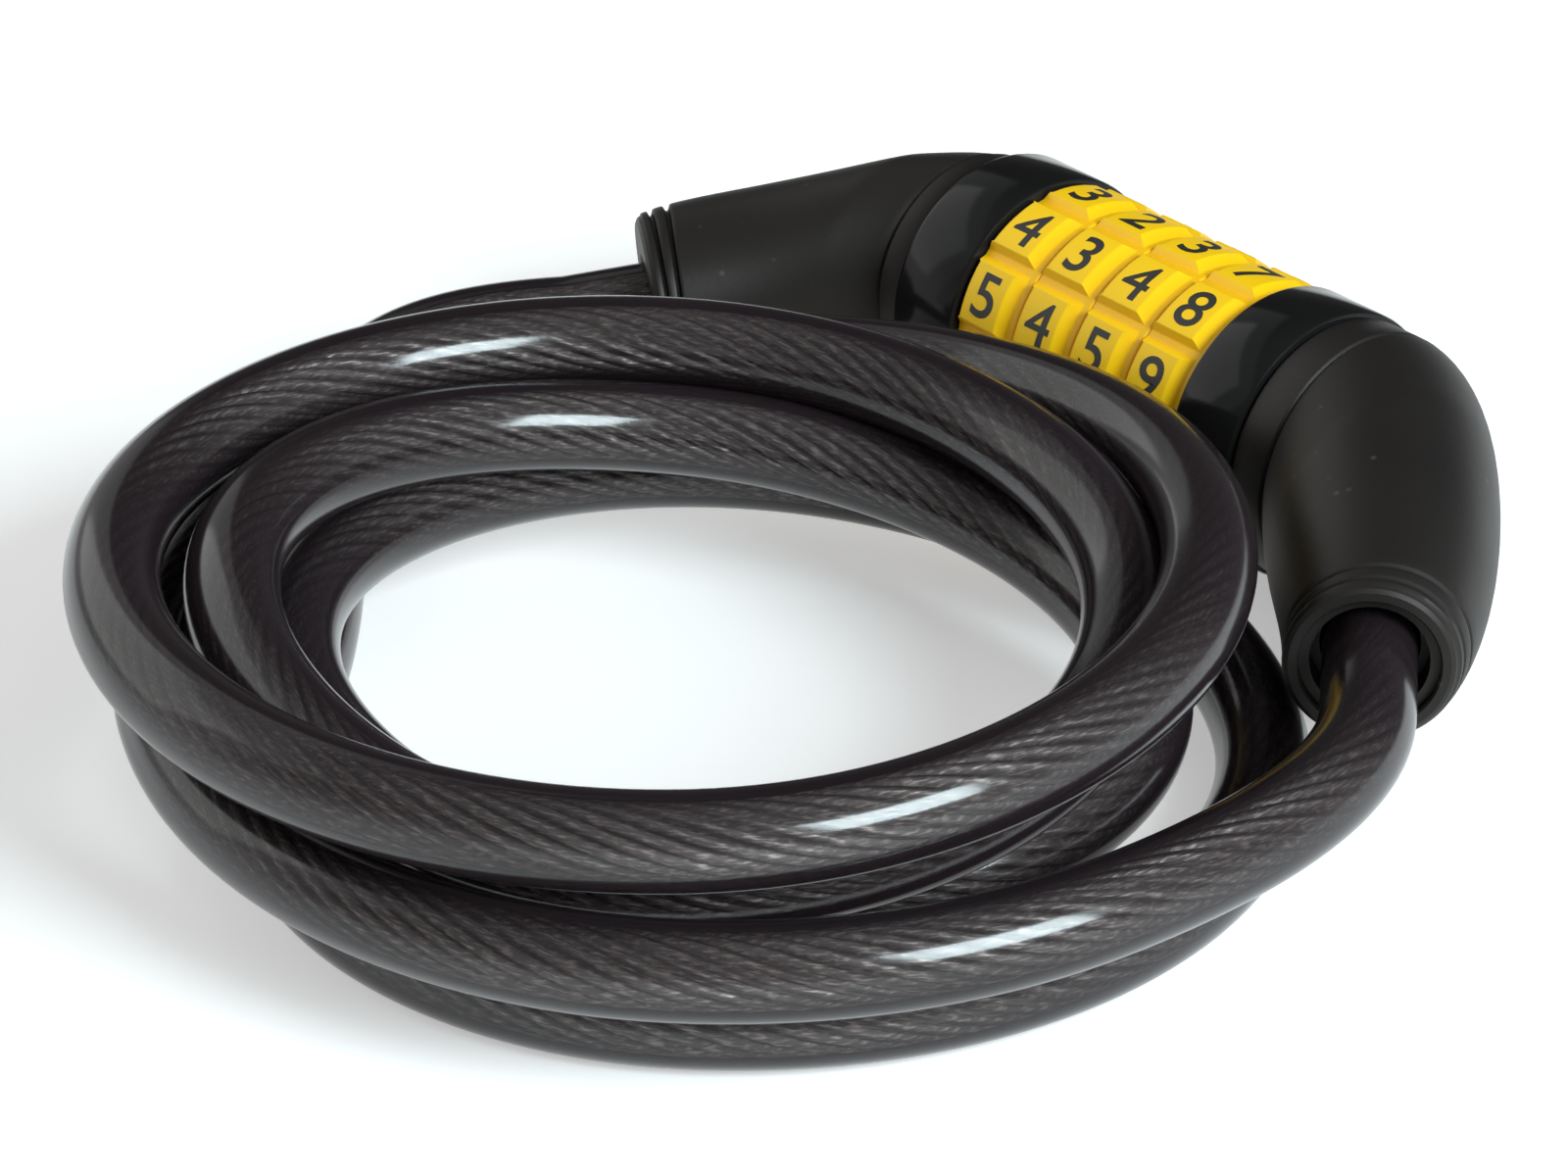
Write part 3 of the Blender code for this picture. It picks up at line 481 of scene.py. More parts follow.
class LOCK_OT_stage(bpy.types.Operator):
    """Sets up the camera, the pale floor and the soft lights"""

    bl_idname = "lock.stage"
    bl_label = "Stage"

    def execute(self, context):
        context.scene.view_settings.view_transform = "Standard"
        self.add_camera(context)
        self.add_floor(context.scene.lock_finish)
        self.add_lamps()
        self.add_room(context)
        return {"FINISHED"}

    def add_camera(self, context):
        """A long lens over the coil, from the boot's side."""
        activate()
        bpy.ops.object.camera_add(location=CAMERA_PLACE)
        camera = context.scene.camera = context.object
        aim(camera, CAMERA_AIM)
        camera.data.lens = LENS
        camera.data.sensor_width = 36.0
        camera.data.clip_start = 0.01
        camera.data.clip_end = 50.0

    def add_floor(self, finish):
        """A wide pale sheet, which shows white apart from the shadow on it."""
        activate()
        bpy.ops.mesh.primitive_plane_add(size=12.0, location=(0.0, 0.0, -0.15 * MM))
        floor = bpy.context.object
        floor.name = "studio_floor"
        material, tree, shader = new_material("studio_paper")
        rays = add_node(tree, "ShaderNodeLightPath").outputs
        seen = maths(tree, "MAXIMUM", rays["Is Camera Ray"], rays["Is Glossy Ray"])
        seen = maths(tree, "MAXIMUM", seen, rays["Is Transmission Ray"])
        for socket, value in (
            ("Base Color", shade(finish.floor)), ("Roughness", 0.9), ("Specular IOR Level", 0.0),
            ("Emission Color", WHITE), ("Emission Strength", ramp(tree, seen, onto=(0.0, 0.42))),
        ):
            put(shader, socket, value)
        floor.data.materials.append(material)

    def add_lamps(self):
        """A window to the right of the camera, and two pale walls at the plug's end."""
        for name, place, size, power, tint in LAMPS:
            activate()
            bpy.ops.object.light_add(type="AREA", location=place)
            lamp = bpy.context.object
            lamp.name = name
            aim(lamp, LAMP_AIM)
            lamp.data.shape = "RECTANGLE"
            lamp.data.size, lamp.data.size_y = size
            lamp.data.energy = power
            lamp.data.color = tint

    def add_room(self, context):
        """A pale room, dimmer overhead and behind the lock."""
        world = context.scene.world = bpy.data.worlds.new("pale_room")
        world.use_nodes = True
        tree = world.node_tree
        outward = add_node(tree, "ShaderNodeTexCoord").outputs["Generated"]
        height = add_node(tree, "ShaderNodeSeparateXYZ", Vector=outward).outputs["Z"]
        level = ramp(tree, height, (0.05, 0.45), (0.68, 0.28), "SMOOTHSTEP")
        behind = add_node(tree, "ShaderNodeVectorMath", {"operation": "DOT_PRODUCT"})
        put(behind, 0, outward)
        put(behind, 1, ROOM_BACK)
        dim = ramp(tree, behind.outputs["Value"], (0.1, 0.7), (1.0, 0.12), "SMOOTHSTEP")
        background = tree.nodes["Background"]
        put(background, "Strength", maths(tree, "MULTIPLY", level, dim))
        put(background, "Color", WHITE)


# ---------------------------------------------------------------- the cable


def between(values, place):
    """Smooth value at a place in quarter turns, through the values at whole quarter turns."""
    index = min(int(place), len(values) - 2)
    t = place - index
    a = values[max(index - 1, 0)]
    b, c = values[index], values[index + 1]
    d = values[min(index + 2, len(values) - 1)]
    square = 2 * a - 5 * b + 4 * c - d
    cube = 3 * b - a - 3 * c + d
    return 0.5 * (2 * b + (c - a) * t + square * t**2 + cube * t**3)


def coil_point(cable, place):
    step = 2 * cable.radius + cable.turn_gap
    lane = between([s[0] for s in STATIONS], place)
    layer = max(between([s[1] for s in STATIONS], place), 0.0)
    turned = cable.coil_start - place * math.pi / 2
    reach = cable.coil_radius + lane * step
    flat = COIL_CENTRE + Vector((math.cos(turned), math.sin(turned))) * reach
    return Vector((flat.x, flat.y, cable.radius + layer * step))


def coil_heading(cable, place):
    return (coil_point(cable, place + 0.01) - coil_point(cable, place - 0.01)).normalized()


HOUSINGS = {"boot": (1, BOOT_START), "cover": (-1, COVER_START)}  # side of the barrel, start along X


def bent_way(housing, part):
    """A housing's direction after its bend and the centre of its mouth, from its start."""
    side = HOUSINGS[part][0]
    bend = getattr(housing, f"{part}_bend")
    direction = Vector((side * math.cos(bend), -math.sin(bend), 0.0))
    corner = Vector((side * getattr(housing, f"{part}_corner"), 0.0, 0.0))
    return direction, corner + direction * getattr(housing, f"{part}_reach")


def mouth_of(housing, part):
    """The centre of a housing's mouth and the direction out of it, in the frame."""
    direction, mouth = bent_way(housing, part)
    turn = Matrix.Rotation(housing.cover_roll if part == "cover" else 0.0, 3, "X")
    return Vector((HOUSINGS[part][1], 0, AXIS_HEIGHT)) + turn @ mouth, turn @ direction


def run_points(start, end, step):
    count = max(2, math.ceil((end - start).length / step))
    return [start.lerp(end, k / count) for k in range(count)]


def curve_points(start, leaving, arriving, end, step):
    rough = (leaving - start).length + (arriving - leaving).length + (end - arriving).length
    count = math.ceil(rough / step)
    return [bezier(start, leaving, arriving, end, k / count) for k in range(count)]


def coil_route(cable, housing):
    """From the boot's slug, straight out of the mouth and round the loops."""
    mouth, direction = mouth_of(housing, "boot")
    width = 2 * cable.radius
    first = mouth - direction * (housing.boot_slug_depth - GAP)
    straight_end = mouth + direction * width
    joining, heading = coil_point(cable, COIL_FIRST), coil_heading(cable, COIL_FIRST)
    reach = (joining - straight_end).length / 3
    points = run_points(first, straight_end, cable.step)
    points += curve_points(
        straight_end, straight_end + direction * reach, joining - heading * reach, joining, cable.step
    )
    span = COIL_LAST - COIL_FIRST
    count = round(span * cable.coil_radius * math.pi / 2 / cable.step)
    points += [coil_point(cable, COIL_FIRST + span * k / count) for k in range(count)]
    end = coil_point(cable, COIL_LAST)
    return points + run_points(end, end + coil_heading(cable, COIL_LAST) * width, cable.step)


def lead_route(cable, housing):
    """On from the coil's end, outward on the surface and up to the plug's slug."""
    heading = coil_heading(cable, COIL_LAST)
    width = 2 * cable.radius
    start = coil_point(cable, COIL_LAST) + heading * width
    mouth, direction = mouth_of(housing, "cover")
    bend_start, bend_end = start + heading * width, mouth + direction * width
    level = Vector((direction.x, direction.y, 0)).normalized()
    leaving, arriving = bend_start + heading * LEAD_HANDLES[0], bend_end + level * LEAD_HANDLES[1]
    points = run_points(start, bend_start, cable.step)
    points += curve_points(bend_start, leaving, arriving, bend_end, cable.step)
    end = mouth - direction * (housing.cover_slug_depth - GAP)
    return points + run_points(bend_end, end, cable.step) + [end]


def carried_frames(points):
    """(point, side, up, length so far) along the route, with the least twist."""
    frames = []
    along = 0.0
    side = None
    for k, point in enumerate(points):
        heading = (points[min(k + 1, len(points) - 1)] - points[max(k - 1, 0)]).normalized()
        if side is None:
            side = heading.cross(Vector((0, 0, 1))).normalized()
        side = (side - heading * side.dot(heading)).normalized()
        if k:
            along += (point - points[k - 1]).length
        frames.append((point, side, heading.cross(side), along))
    return frames


def tube_mesh(name, frames, section, sides, twist):
    """A closed tube: section(share of the way round) is its radius, and it turns with the lay.
    Its UV map runs round the tube and along it, both in metres."""
    around = math.tau * section(0.5 / sides)
    shape = bmesh.new()
    map_layer = shape.loops.layers.uv.new("Lay")
    loops = []
    for point, side, up, along in frames:
        ring = []
        for k in range(sides):
            turned = math.tau * (k / sides + along * twist)
            offset = side * math.cos(turned) + up * math.sin(turned)
            ring.append(shape.verts.new(point + offset * section(k / sides)))
        loops.append(ring)
    for row in range(len(loops) - 1):
        near, far = frames[row][3], frames[row + 1][3]
        for k in range(sides):
            j = (k + 1) % sides
            face = shape.faces.new((loops[row][k], loops[row][j], loops[row + 1][j], loops[row + 1][k]))
            places = ((k, near), (k + 1, near), (k + 1, far), (k, far))
            for corner, (u, v) in zip(face.loops, places):
                corner[map_layer].uv = (u / sides * around, v)
    shape.faces.new(loops[0])
    shape.faces.new(loops[-1])
    bmesh.ops.recalc_face_normals(shape, faces=shape.faces)
    mesh = bpy.data.meshes.new(name)
    shape.to_mesh(mesh)
    shape.free()
    mesh.shade_smooth()
    mesh.set_sharp_from_angle(angle=math.radians(60.0))
    obj = bpy.data.objects.new(name, mesh)
    bpy.context.scene.collection.objects.link(obj)
    return obj


class LOCK_OT_cable(bpy.types.Operator):
    """Winds the cable: a smoky jacket over twisted strands, in the coil and in the lead to the plug"""

    bl_idname = "lock.cable"
    bl_label = "Cable"

    def execute(self, context):
        cable, housing = context.scene.lock_cable, context.scene.lock_housing
        finish = context.scene.lock_finish
        coil, lead = coil_route(cable, housing), lead_route(cable, housing)
        frames = carried_frames(coil + lead)
        materials = jacket_material(finish), strand_material(finish, cable)
        mouth, direction = mouth_of(housing, "boot")
        plug_mouth = mouth_of(housing, "cover")[0]
        for part, ways, node, exit_point, lay in (
            ("coil", frames[: len(coil) + 1], "cable_coil", mouth - direction * EXIT_DEPTH, "coiled"),
            ("lead", frames[len(coil):], "cable_plug_lead", plug_mouth, "loose"),
        ):
            pieces = self.draw_stretch(cable, part, ways, materials)
            for piece in pieces:
                if part == "coil":
                    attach(piece, BARREL)
                else:
                    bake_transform(piece)
            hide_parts(node)
        return {"FINISHED"}

    def draw_stretch(self, cable, part, frames, materials):
        """The jacket and the strands of one stretch of cable."""

        def strand_section(share):
            across = (share * cable.strands) % 1.0 * 2.0 - 1.0
            crown = math.sqrt(1.0 - STRAND_ROUNDNESS * across * across)
            return cable.wire_radius - cable.wire_dip * (1.0 - crown)

        tube = tube_mesh(f"cable_{part}_jacket", frames, lambda share: cable.radius, cable.jacket_sides, 0.0)
        sides, twist = cable.strands * 6, 1 / cable.wire_lay
        core = tube_mesh(f"cable_{part}_strands", frames, strand_section, sides, twist)
        for piece, material in zip((tube, core), materials):
            piece.data.materials.append(material)
        return tube, core


# ---------------------------------------------------------------- rings and housings


def loft(name, sections, sides, closed=False):
    """Draws a tube from ring to ring, as by hand. Each section is (centre, heading of its width, half
    width, half height); every ring stands upright. Its ends are filled, or joined where closed."""
    activate()
    bpy.ops.mesh.primitive_circle_add(vertices=sides, radius=1.0, rotation=(math.pi / 2, 0, 0))
    obj = bpy.context.object
    bpy.ops.object.transform_apply(location=False, rotation=True, scale=False)
    bpy.ops.object.mode_set(mode="EDIT")
    bpy.ops.mesh.select_mode(type="VERT")
    bpy.ops.mesh.select_all(action="SELECT")
    here, heading, wide, high = Vector(), 0.0, 1.0, 1.0
    for index, (centre, new_heading, new_wide, new_high) in enumerate(sections):
        if index:
            bpy.ops.mesh.extrude_region_move()
        if heading:
            bpy.ops.transform.rotate(value=heading, orient_axis="Z", center_override=here)
        bpy.ops.transform.resize(value=(new_wide / wide, 1.0, new_high / high), center_override=here)
        bpy.ops.transform.rotate(value=-new_heading, orient_axis="Z", center_override=here)
        bpy.ops.transform.translate(value=centre - here)
        here, heading, wide, high = centre, new_heading, new_wide, new_high
    bpy.ops.mesh.select_all(action="DESELECT")
    bpy.ops.mesh.select_mode(type="EDGE")
    bpy.ops.mesh.select_non_manifold(extend=False)
    if closed:
        bpy.ops.mesh.bridge_edge_loops()
    else:
        bpy.ops.mesh.edge_face_add()
    bpy.ops.mesh.select_all(action="SELECT")
    bpy.ops.mesh.normals_make_consistent(inside=False)
    bpy.ops.object.mode_set(mode="OBJECT")
    obj.name = name
    return obj


def round_sections(profile):
    """Sections round the barrel's own axis from (x, radius) pairs."""
    return [(Vector((x, 0, AXIS_HEIGHT)), math.pi / 2, r, r) for x, r in profile]


def rounded_edge(x, top, size, side):
    """Three (x, radius) points of a rounded edge at x, in the order of x; side is -1 or 1."""
    points = [(x, top - size), (x - side * size * 0.3, top - size * 0.3), (x - side * size, top)]
    return points if side < 0 else points[::-1]


def cut_block(obj, low, high):
    """Cuts a block out of a piece."""
    activate()
    bpy.ops.mesh.primitive_cube_add(size=1.0, location=[(a + b) / 2 for a, b in zip(low, high)])
    block = bpy.context.object
    block.scale = [b - a for a, b in zip(low, high)]
    bpy.ops.object.transform_apply()
    apply_modifier(obj, "BOOLEAN", operation="DIFFERENCE", solver="EXACT", object=block)
    bpy.data.objects.remove(block, do_unlink=True)


RING_EDGE = 0.45 * MM
CORE_HOLE = 8.3 * MM  # radius of what goes over the core
SPRING_POCKET = (9.5 * MM, 1.9 * MM)  # radius and depth, over the spring ring
KEYWAY = (1.8 * MM, 9.9 * MM)  # half width, and top above the barrel's axis
PLUG_RING_NOSE = ((0.0, 1.1), (0.15, 0.6), (0.5, 0.2), (1.1, 0.0))  # mm in from the end, mm down
FLANGE_POCKET = 8.7 * MM  # radius of the collar's hole over the pin's flange
PIN_HOLE = (3.6 * MM, 1.3 * MM)  # radius, and thickness of the collar's wall round the pin


class LOCK_OT_rings(bpy.types.Operator):
    """Turns the glossy rings on both sides of the dials, and the plug's collar"""

    bl_idname = "lock.rings"
    bl_label = "Rings and collar"

    def execute(self, context):
        dial, finish = context.scene.lock_dial, context.scene.lock_finish
        gloss = gloss_material(finish)
        left, right = ends("boot_side_ring")
        top = dial.ring_radius
        (pocket, depth), (half, roof), (hole, wall) = SPRING_POCKET, KEYWAY, PIN_HOLE
        ring = loft("glossy_ring_boot", round_sections((
            (left, pocket), *rounded_edge(left, top, RING_EDGE, -1), *rounded_edge(right, top, RING_EDGE, 1),
            (right, CORE_HOLE), (left + depth, CORE_HOLE), (left + depth, pocket),
        )), 96, closed=True)
        finish_piece(settle(ring, "glossy_ring_boot"), gloss, BARREL, "ring_gloss", "boot_side_ring")

        left, right = ends("plug_side_ring")
        ring = loft("glossy_ring_plug", round_sections((
            (left, CORE_HOLE), *((left + x * MM, top - down * MM) for x, down in PLUG_RING_NOSE),
            *rounded_edge(right, top, RING_EDGE, 1), (right, CORE_HOLE),
        )), 96, closed=True)
        cut_block(ring, (left - MM, -half, AXIS_HEIGHT), (right + MM, half, AXIS_HEIGHT + roof))
        finish_piece(settle(ring, "glossy_ring_plug"), gloss, BARREL, "ring_gloss", "plug_side_ring")

        left, right = ends("plug_collar")
        top = dial.collar_radius
        collar = loft("plug_collar_ring", round_sections((
            (left, FLANGE_POCKET), (left, top - 0.3 * MM), (left + 0.3 * MM, top),
            (right - 0.9 * MM, top), (right - 0.3 * MM, top - 0.3 * MM), (right, top - 0.9 * MM),
            (right, hole), (right - wall, hole), (right - wall, FLANGE_POCKET),
        )), 72, closed=True)
        matt = housing_material(finish)
        finish_piece(settle(collar, "plug_collar_ring"), matt, PLUG, "housing", "plug_collar")
        return {"FINISHED"}


SKIN_RINGS = 36  # along an elbow's skin
GROOVE_SHAPE = ((2.0, 0.0), (1.2, 0.10), (0.75, 0.6), (0.35, 1.0))  # half widths out, share of depth
GROOVE_ROOM = 2.2  # half widths round a groove that keep clear of the skin's other rings
ELBOW_SIDES = 72
BOOT_EDGE = 0.5 * MM
COVER_EDGE = 0.3 * MM
CORE_SOCKET = 7.3 * MM  # depth of the boot's hole over the core
CHANNEL = 5.3 * MM  # radius of the hole for the cable
LEDGE = 6.3 * MM  # radius of the step in the boot's mouth
COVER_GROOVES = 1.3  # as deep and as wide as the boot's
SLUG_ROOM = 9.3 * MM  # the slug's length with its clearance


def elbow_sections(sizes, part, band, grooves, start):
    """Rings of an elbow's outer skin between two smooth curves in its plane, and a function that gives
    rings inside its mouth. Grooves are (distance from the mouth, depth, width)."""
    side = HOUSINGS[part][0]
    radius, mouth_radius, bulge, fullness, flare = (
        getattr(sizes, f"{part}_{key}") for key in ("radius", "mouth", "bulge", "fullness", "flare")
    )
    direction, mouth = bent_way(sizes, part)
    across = Vector((-direction.y, direction.x, 0.0)) * side
    outer = [Vector((side * band, radius, 0)), Vector((side * (band + bulge), radius, 0))]
    outer += [mouth + across * (mouth_radius + flare) - direction * fullness, mouth + across * mouth_radius]
    inner_start, inner_end = Vector((side * band, -radius, 0)), mouth - across * mouth_radius
    run = (inner_end - inner_start).length / 3
    inner = [inner_start, inner_start + Vector((side, -1, 0)).normalized() * run]
    inner += [inner_end - direction * run, inner_end]
    length = (outer[3] - outer[0]).length

    stops = [(k / SKIN_RINGS, 0.0) for k in range(SKIN_RINGS + 1)]
    for distance, depth, width in grooves:
        middle, half = 1.0 - distance / length, width / length / 2
        stops = [s for s in stops if abs(s[0] - middle) > GROOVE_ROOM * half]
        for out, down in GROOVE_SHAPE:
            stops += [(middle - out * half, depth * down), (middle + out * half, depth * down)]
    sections = []
    for t, dip in sorted(stops):
        far, close = bezier(*outer, t), bezier(*inner, t)
        half = (far - close) / 2
        wide, high = half.length - dip, min(half.length, radius) - dip
        sections.append((start + (far + close) / 2, math.atan2(half.y, half.x), wide, high))
    facing = math.atan2(across.y, across.x)

    def mouth_section(depth, size):
        return (start + mouth - direction * depth, facing, size, size)

    return sections, mouth_section


class LOCK_OT_housings(bpy.types.Operator):
    """Draws the boot and the plug's cover, each from ring to ring round its bend"""

    bl_idname = "lock.housings"
    bl_label = "Housings"

    def execute(self, context):
        sizes, finish = context.scene.lock_housing, context.scene.lock_finish
        matt = housing_material(finish)
        boot = self.draw_boot(sizes)
        finish_piece(settle(boot, "elbow_boot", 28.0), matt, BARREL, "housing", "boot")
        cover = self.draw_cover(sizes)
        finish_piece(settle(cover, "elbow_plug_cover", 28.0), matt, PLUG, "housing", "plug_cover")
        return {"FINISHED"}

    def draw_boot(self, sizes):
        start = Vector((BOOT_START, 0, AXIS_HEIGHT))
        radius, band, dip = sizes.boot_radius, sizes.boot_band, sizes.groove_depth
        grooves = [(distance, dip, sizes.groove_width) for distance in (2.9 * MM, 5.7 * MM)]
        skin, mouth = elbow_sections(sizes, "boot", band, grooves, start)
        profile = [(CORE_SOCKET, CORE_HOLE), (0.0, CORE_HOLE), *rounded_edge(0.0, radius, BOOT_EDGE, -1)]
        for before, drop in ((0.7, 0.0), (0.55, 0.1 * MM), (0.35, dip * 0.7), (0.15, 0.1 * MM)):
            profile.append((band - before * MM, radius - drop))
        sections = [(start + Vector((x, 0, 0)), math.pi / 2, r, r) for x, r in profile]
        size, wide, deep = sizes.boot_mouth, sizes.boot_recess, sizes.recess_depth
        sections += skin[:-1]
        sections += [mouth(depth, r) for depth, r in (
            (0.75 * MM, size + 0.05 * MM), (0.3 * MM, size - 0.15 * MM), (0.0, size - 0.6 * MM),
            (0.0, wide + 0.2 * MM), (0.25 * MM, wide), (1.2 * MM, wide), (1.2 * MM, LEDGE),
            (deep, LEDGE), (deep, CHANNEL), (sizes.boot_slug_depth + SLUG_ROOM, CHANNEL),
        )]
        return loft("elbow_boot", sections, ELBOW_SIDES)

    def draw_cover(self, sizes):
        start, rim, size = Vector(), sizes.cover_radius - COVER_EDGE, sizes.cover_mouth
        dip, width = sizes.groove_depth * COVER_GROOVES, sizes.groove_width * COVER_GROOVES
        grooves = [(distance, dip, width) for distance in (3.1 * MM, 5.9 * MM)]
        skin, mouth = elbow_sections(sizes, "cover", 0.0, grooves, start)
        sections = [(start, math.pi / 2, rim, rim)] + skin[1:-1]
        sections += [mouth(depth, r) for depth, r in (
            (0.8 * MM, size + 0.05 * MM), (0.3 * MM, size - 0.2 * MM), (0.0, size - 0.75 * MM),
            (0.0, 6.0 * MM), (0.5 * MM, CHANNEL), (sizes.cover_slug_depth + SLUG_ROOM, CHANNEL),
        )]
        cover = loft("elbow_plug_cover", sections, ELBOW_SIDES)
        cover.location = (COVER_START, 0, AXIS_HEIGHT)
        cover.rotation_euler.x = sizes.cover_roll
        return cover


# ---------------------------------------------------------------- dials, figures and inner metal


DIGITS = 10
FIRST_FIGURES = (4, 3, 4, 8)  # on the pad that faces the camera, dial by dial
FIGURE_WIDENING = 1.12  # of a figure's width
FIGURE_SHARE = 0.73  # of the type's size that a figure's height takes
FIGURE_BLOCK = 1.6 * MM  # thickness of a figure before it is wrapped
PAINT = (0.06 * MM, 0.035 * MM)  # depth of the figures in the pads, and height above them
DIAL_SIDES = 100
RIM = 0.25 * MM  # bevel at a dial's low side
RIB_SLOT = (1.8 * MM, 1.2 * MM)  # half width and depth of the slot for the gate ring's rib
PAD_SHARE = 0.46 * 2  # of the way from pad to pad
PAD_LEAN = 0.45 * MM  # by which a pad's top reaches over its left side
PAD_LEFT = 0.5 * MM  # from a dial's left side to the flat of its pads
PAD_EDGE = 0.45 * MM
NEAR_POINTS = 0.03 * MM  # points of an outline that are merged before it is filled
SLIVER = 0.002 * MM  # points of the wrapped figures that are merged


def dial_middles():
    return [sum(ends(f"dial_{k}")) / 2 for k in (1, 2, 3, 4)]


def linked_copy(model):
    """A copy of a piece with its own mesh."""
    piece = model.copy()
    piece.data = model.data.copy()
    bpy.context.scene.collection.objects.link(piece)
    return piece


class LOCK_OT_dials(bpy.types.Operator):
    """Models one dial with its ten raised pads, and copies it along the barrel"""

    bl_idname = "lock.dials"
    bl_label = "Dials"

    def execute(self, context):
        sizes, finish = context.scene.lock_dial, context.scene.lock_finish
        left, right = ends("dial_1")
        half = (right - left) / 2 + sizes.closeness
        floor = sizes.radius - sizes.groove
        slope = half - sizes.valley + sizes.valley_slope
        dial = loft("dial", round_sections((
            (-half, sizes.bore), (-half, floor), (slope, floor), (half - RIM, floor),
            (half, floor - RIM), (half, sizes.bore),
        )), DIAL_SIDES, closed=True)
        self.turn_to_pads(dial, sizes)
        rib, depth = RIB_SLOT
        low, high = (-half - MM, sizes.bore - MM), (half + MM, sizes.bore + depth)
        cut_block(dial, (*low, AXIS_HEIGHT - rib), (*high, AXIS_HEIGHT + rib))
        self.raise_pads(dial, sizes, slope, floor)
        apply_modifier(
            dial, "BEVEL", width=PAD_EDGE, segments=4, limit_method="ANGLE",
            angle_limit=math.radians(25.0), harden_normals=False,
        )
        dials = [linked_copy(dial) for _ in DIAL_BODIES[1:]] + [dial]
        yellow = dial_material(finish, sizes)
        for number, (piece, body, x) in enumerate(zip(dials, DIAL_BODIES, dial_middles()), 1):
            piece.location.x = x
            finish_piece(settle(piece, f"dial_yellow_{number}"), yellow, body, "dial", f"dial_{number}")
        return {"FINISHED"}

    def turn_to_pads(self, dial, sizes):
        """Turns the ring about the barrel until the middle of a facet is at each pad's middle."""
        corner = dial.data.vertices[0].co
        now = math.atan2(corner.z - AXIS_HEIGHT, corner.y)
        wanted = math.pi / 2 + sizes.pad_phase + math.pi / DIAL_SIDES
        middle = Vector((0, 0, AXIS_HEIGHT))
        turn = Matrix.Rotation(wanted - now, 4, "X")
        dial.matrix_world = Matrix.Translation(middle) @ turn @ Matrix.Translation(-middle)
        settle(dial, "dial")

    def raise_pads(self, dial, sizes, slope, floor):
        """Insets and raises ten groups of facets, and leans each pad's top over its left side."""
        pitch = math.tau / DIGITS

        def on_pad(middle, normal):
            y, z = middle.y, middle.z - AXIS_HEIGHT
            turned = math.atan2(z, y) - math.pi / 2 - sizes.pad_phase
            offset = (turned + pitch / 2) % pitch - pitch / 2
            outside = math.hypot(y, z) > floor - 0.1 * MM and abs(normal.x) < 0.3
            return outside and middle.x < slope and abs(offset) < pitch / 2 * PAD_SHARE

        edit_faces(dial, on_pad)
        bpy.ops.mesh.inset(thickness=sizes.valley_slope, depth=sizes.groove, use_even_offset=False)
        bpy.ops.object.mode_set(mode="OBJECT")
        left = min(v.co.x for v in dial.data.vertices)
        for vertex in dial.data.vertices:
            on_top = math.hypot(vertex.co.y, vertex.co.z - AXIS_HEIGHT) > sizes.radius - 0.2 * MM
            vertex.select = on_top and vertex.co.x < left + sizes.valley_slope * 1.5
        bpy.ops.object.mode_set(mode="EDIT")
        bpy.context.tool_settings.mesh_select_mode = (True, False, False)
        bpy.ops.transform.translate(value=(-PAD_LEAN, 0, 0))
        bpy.ops.object.mode_set(mode="OBJECT")


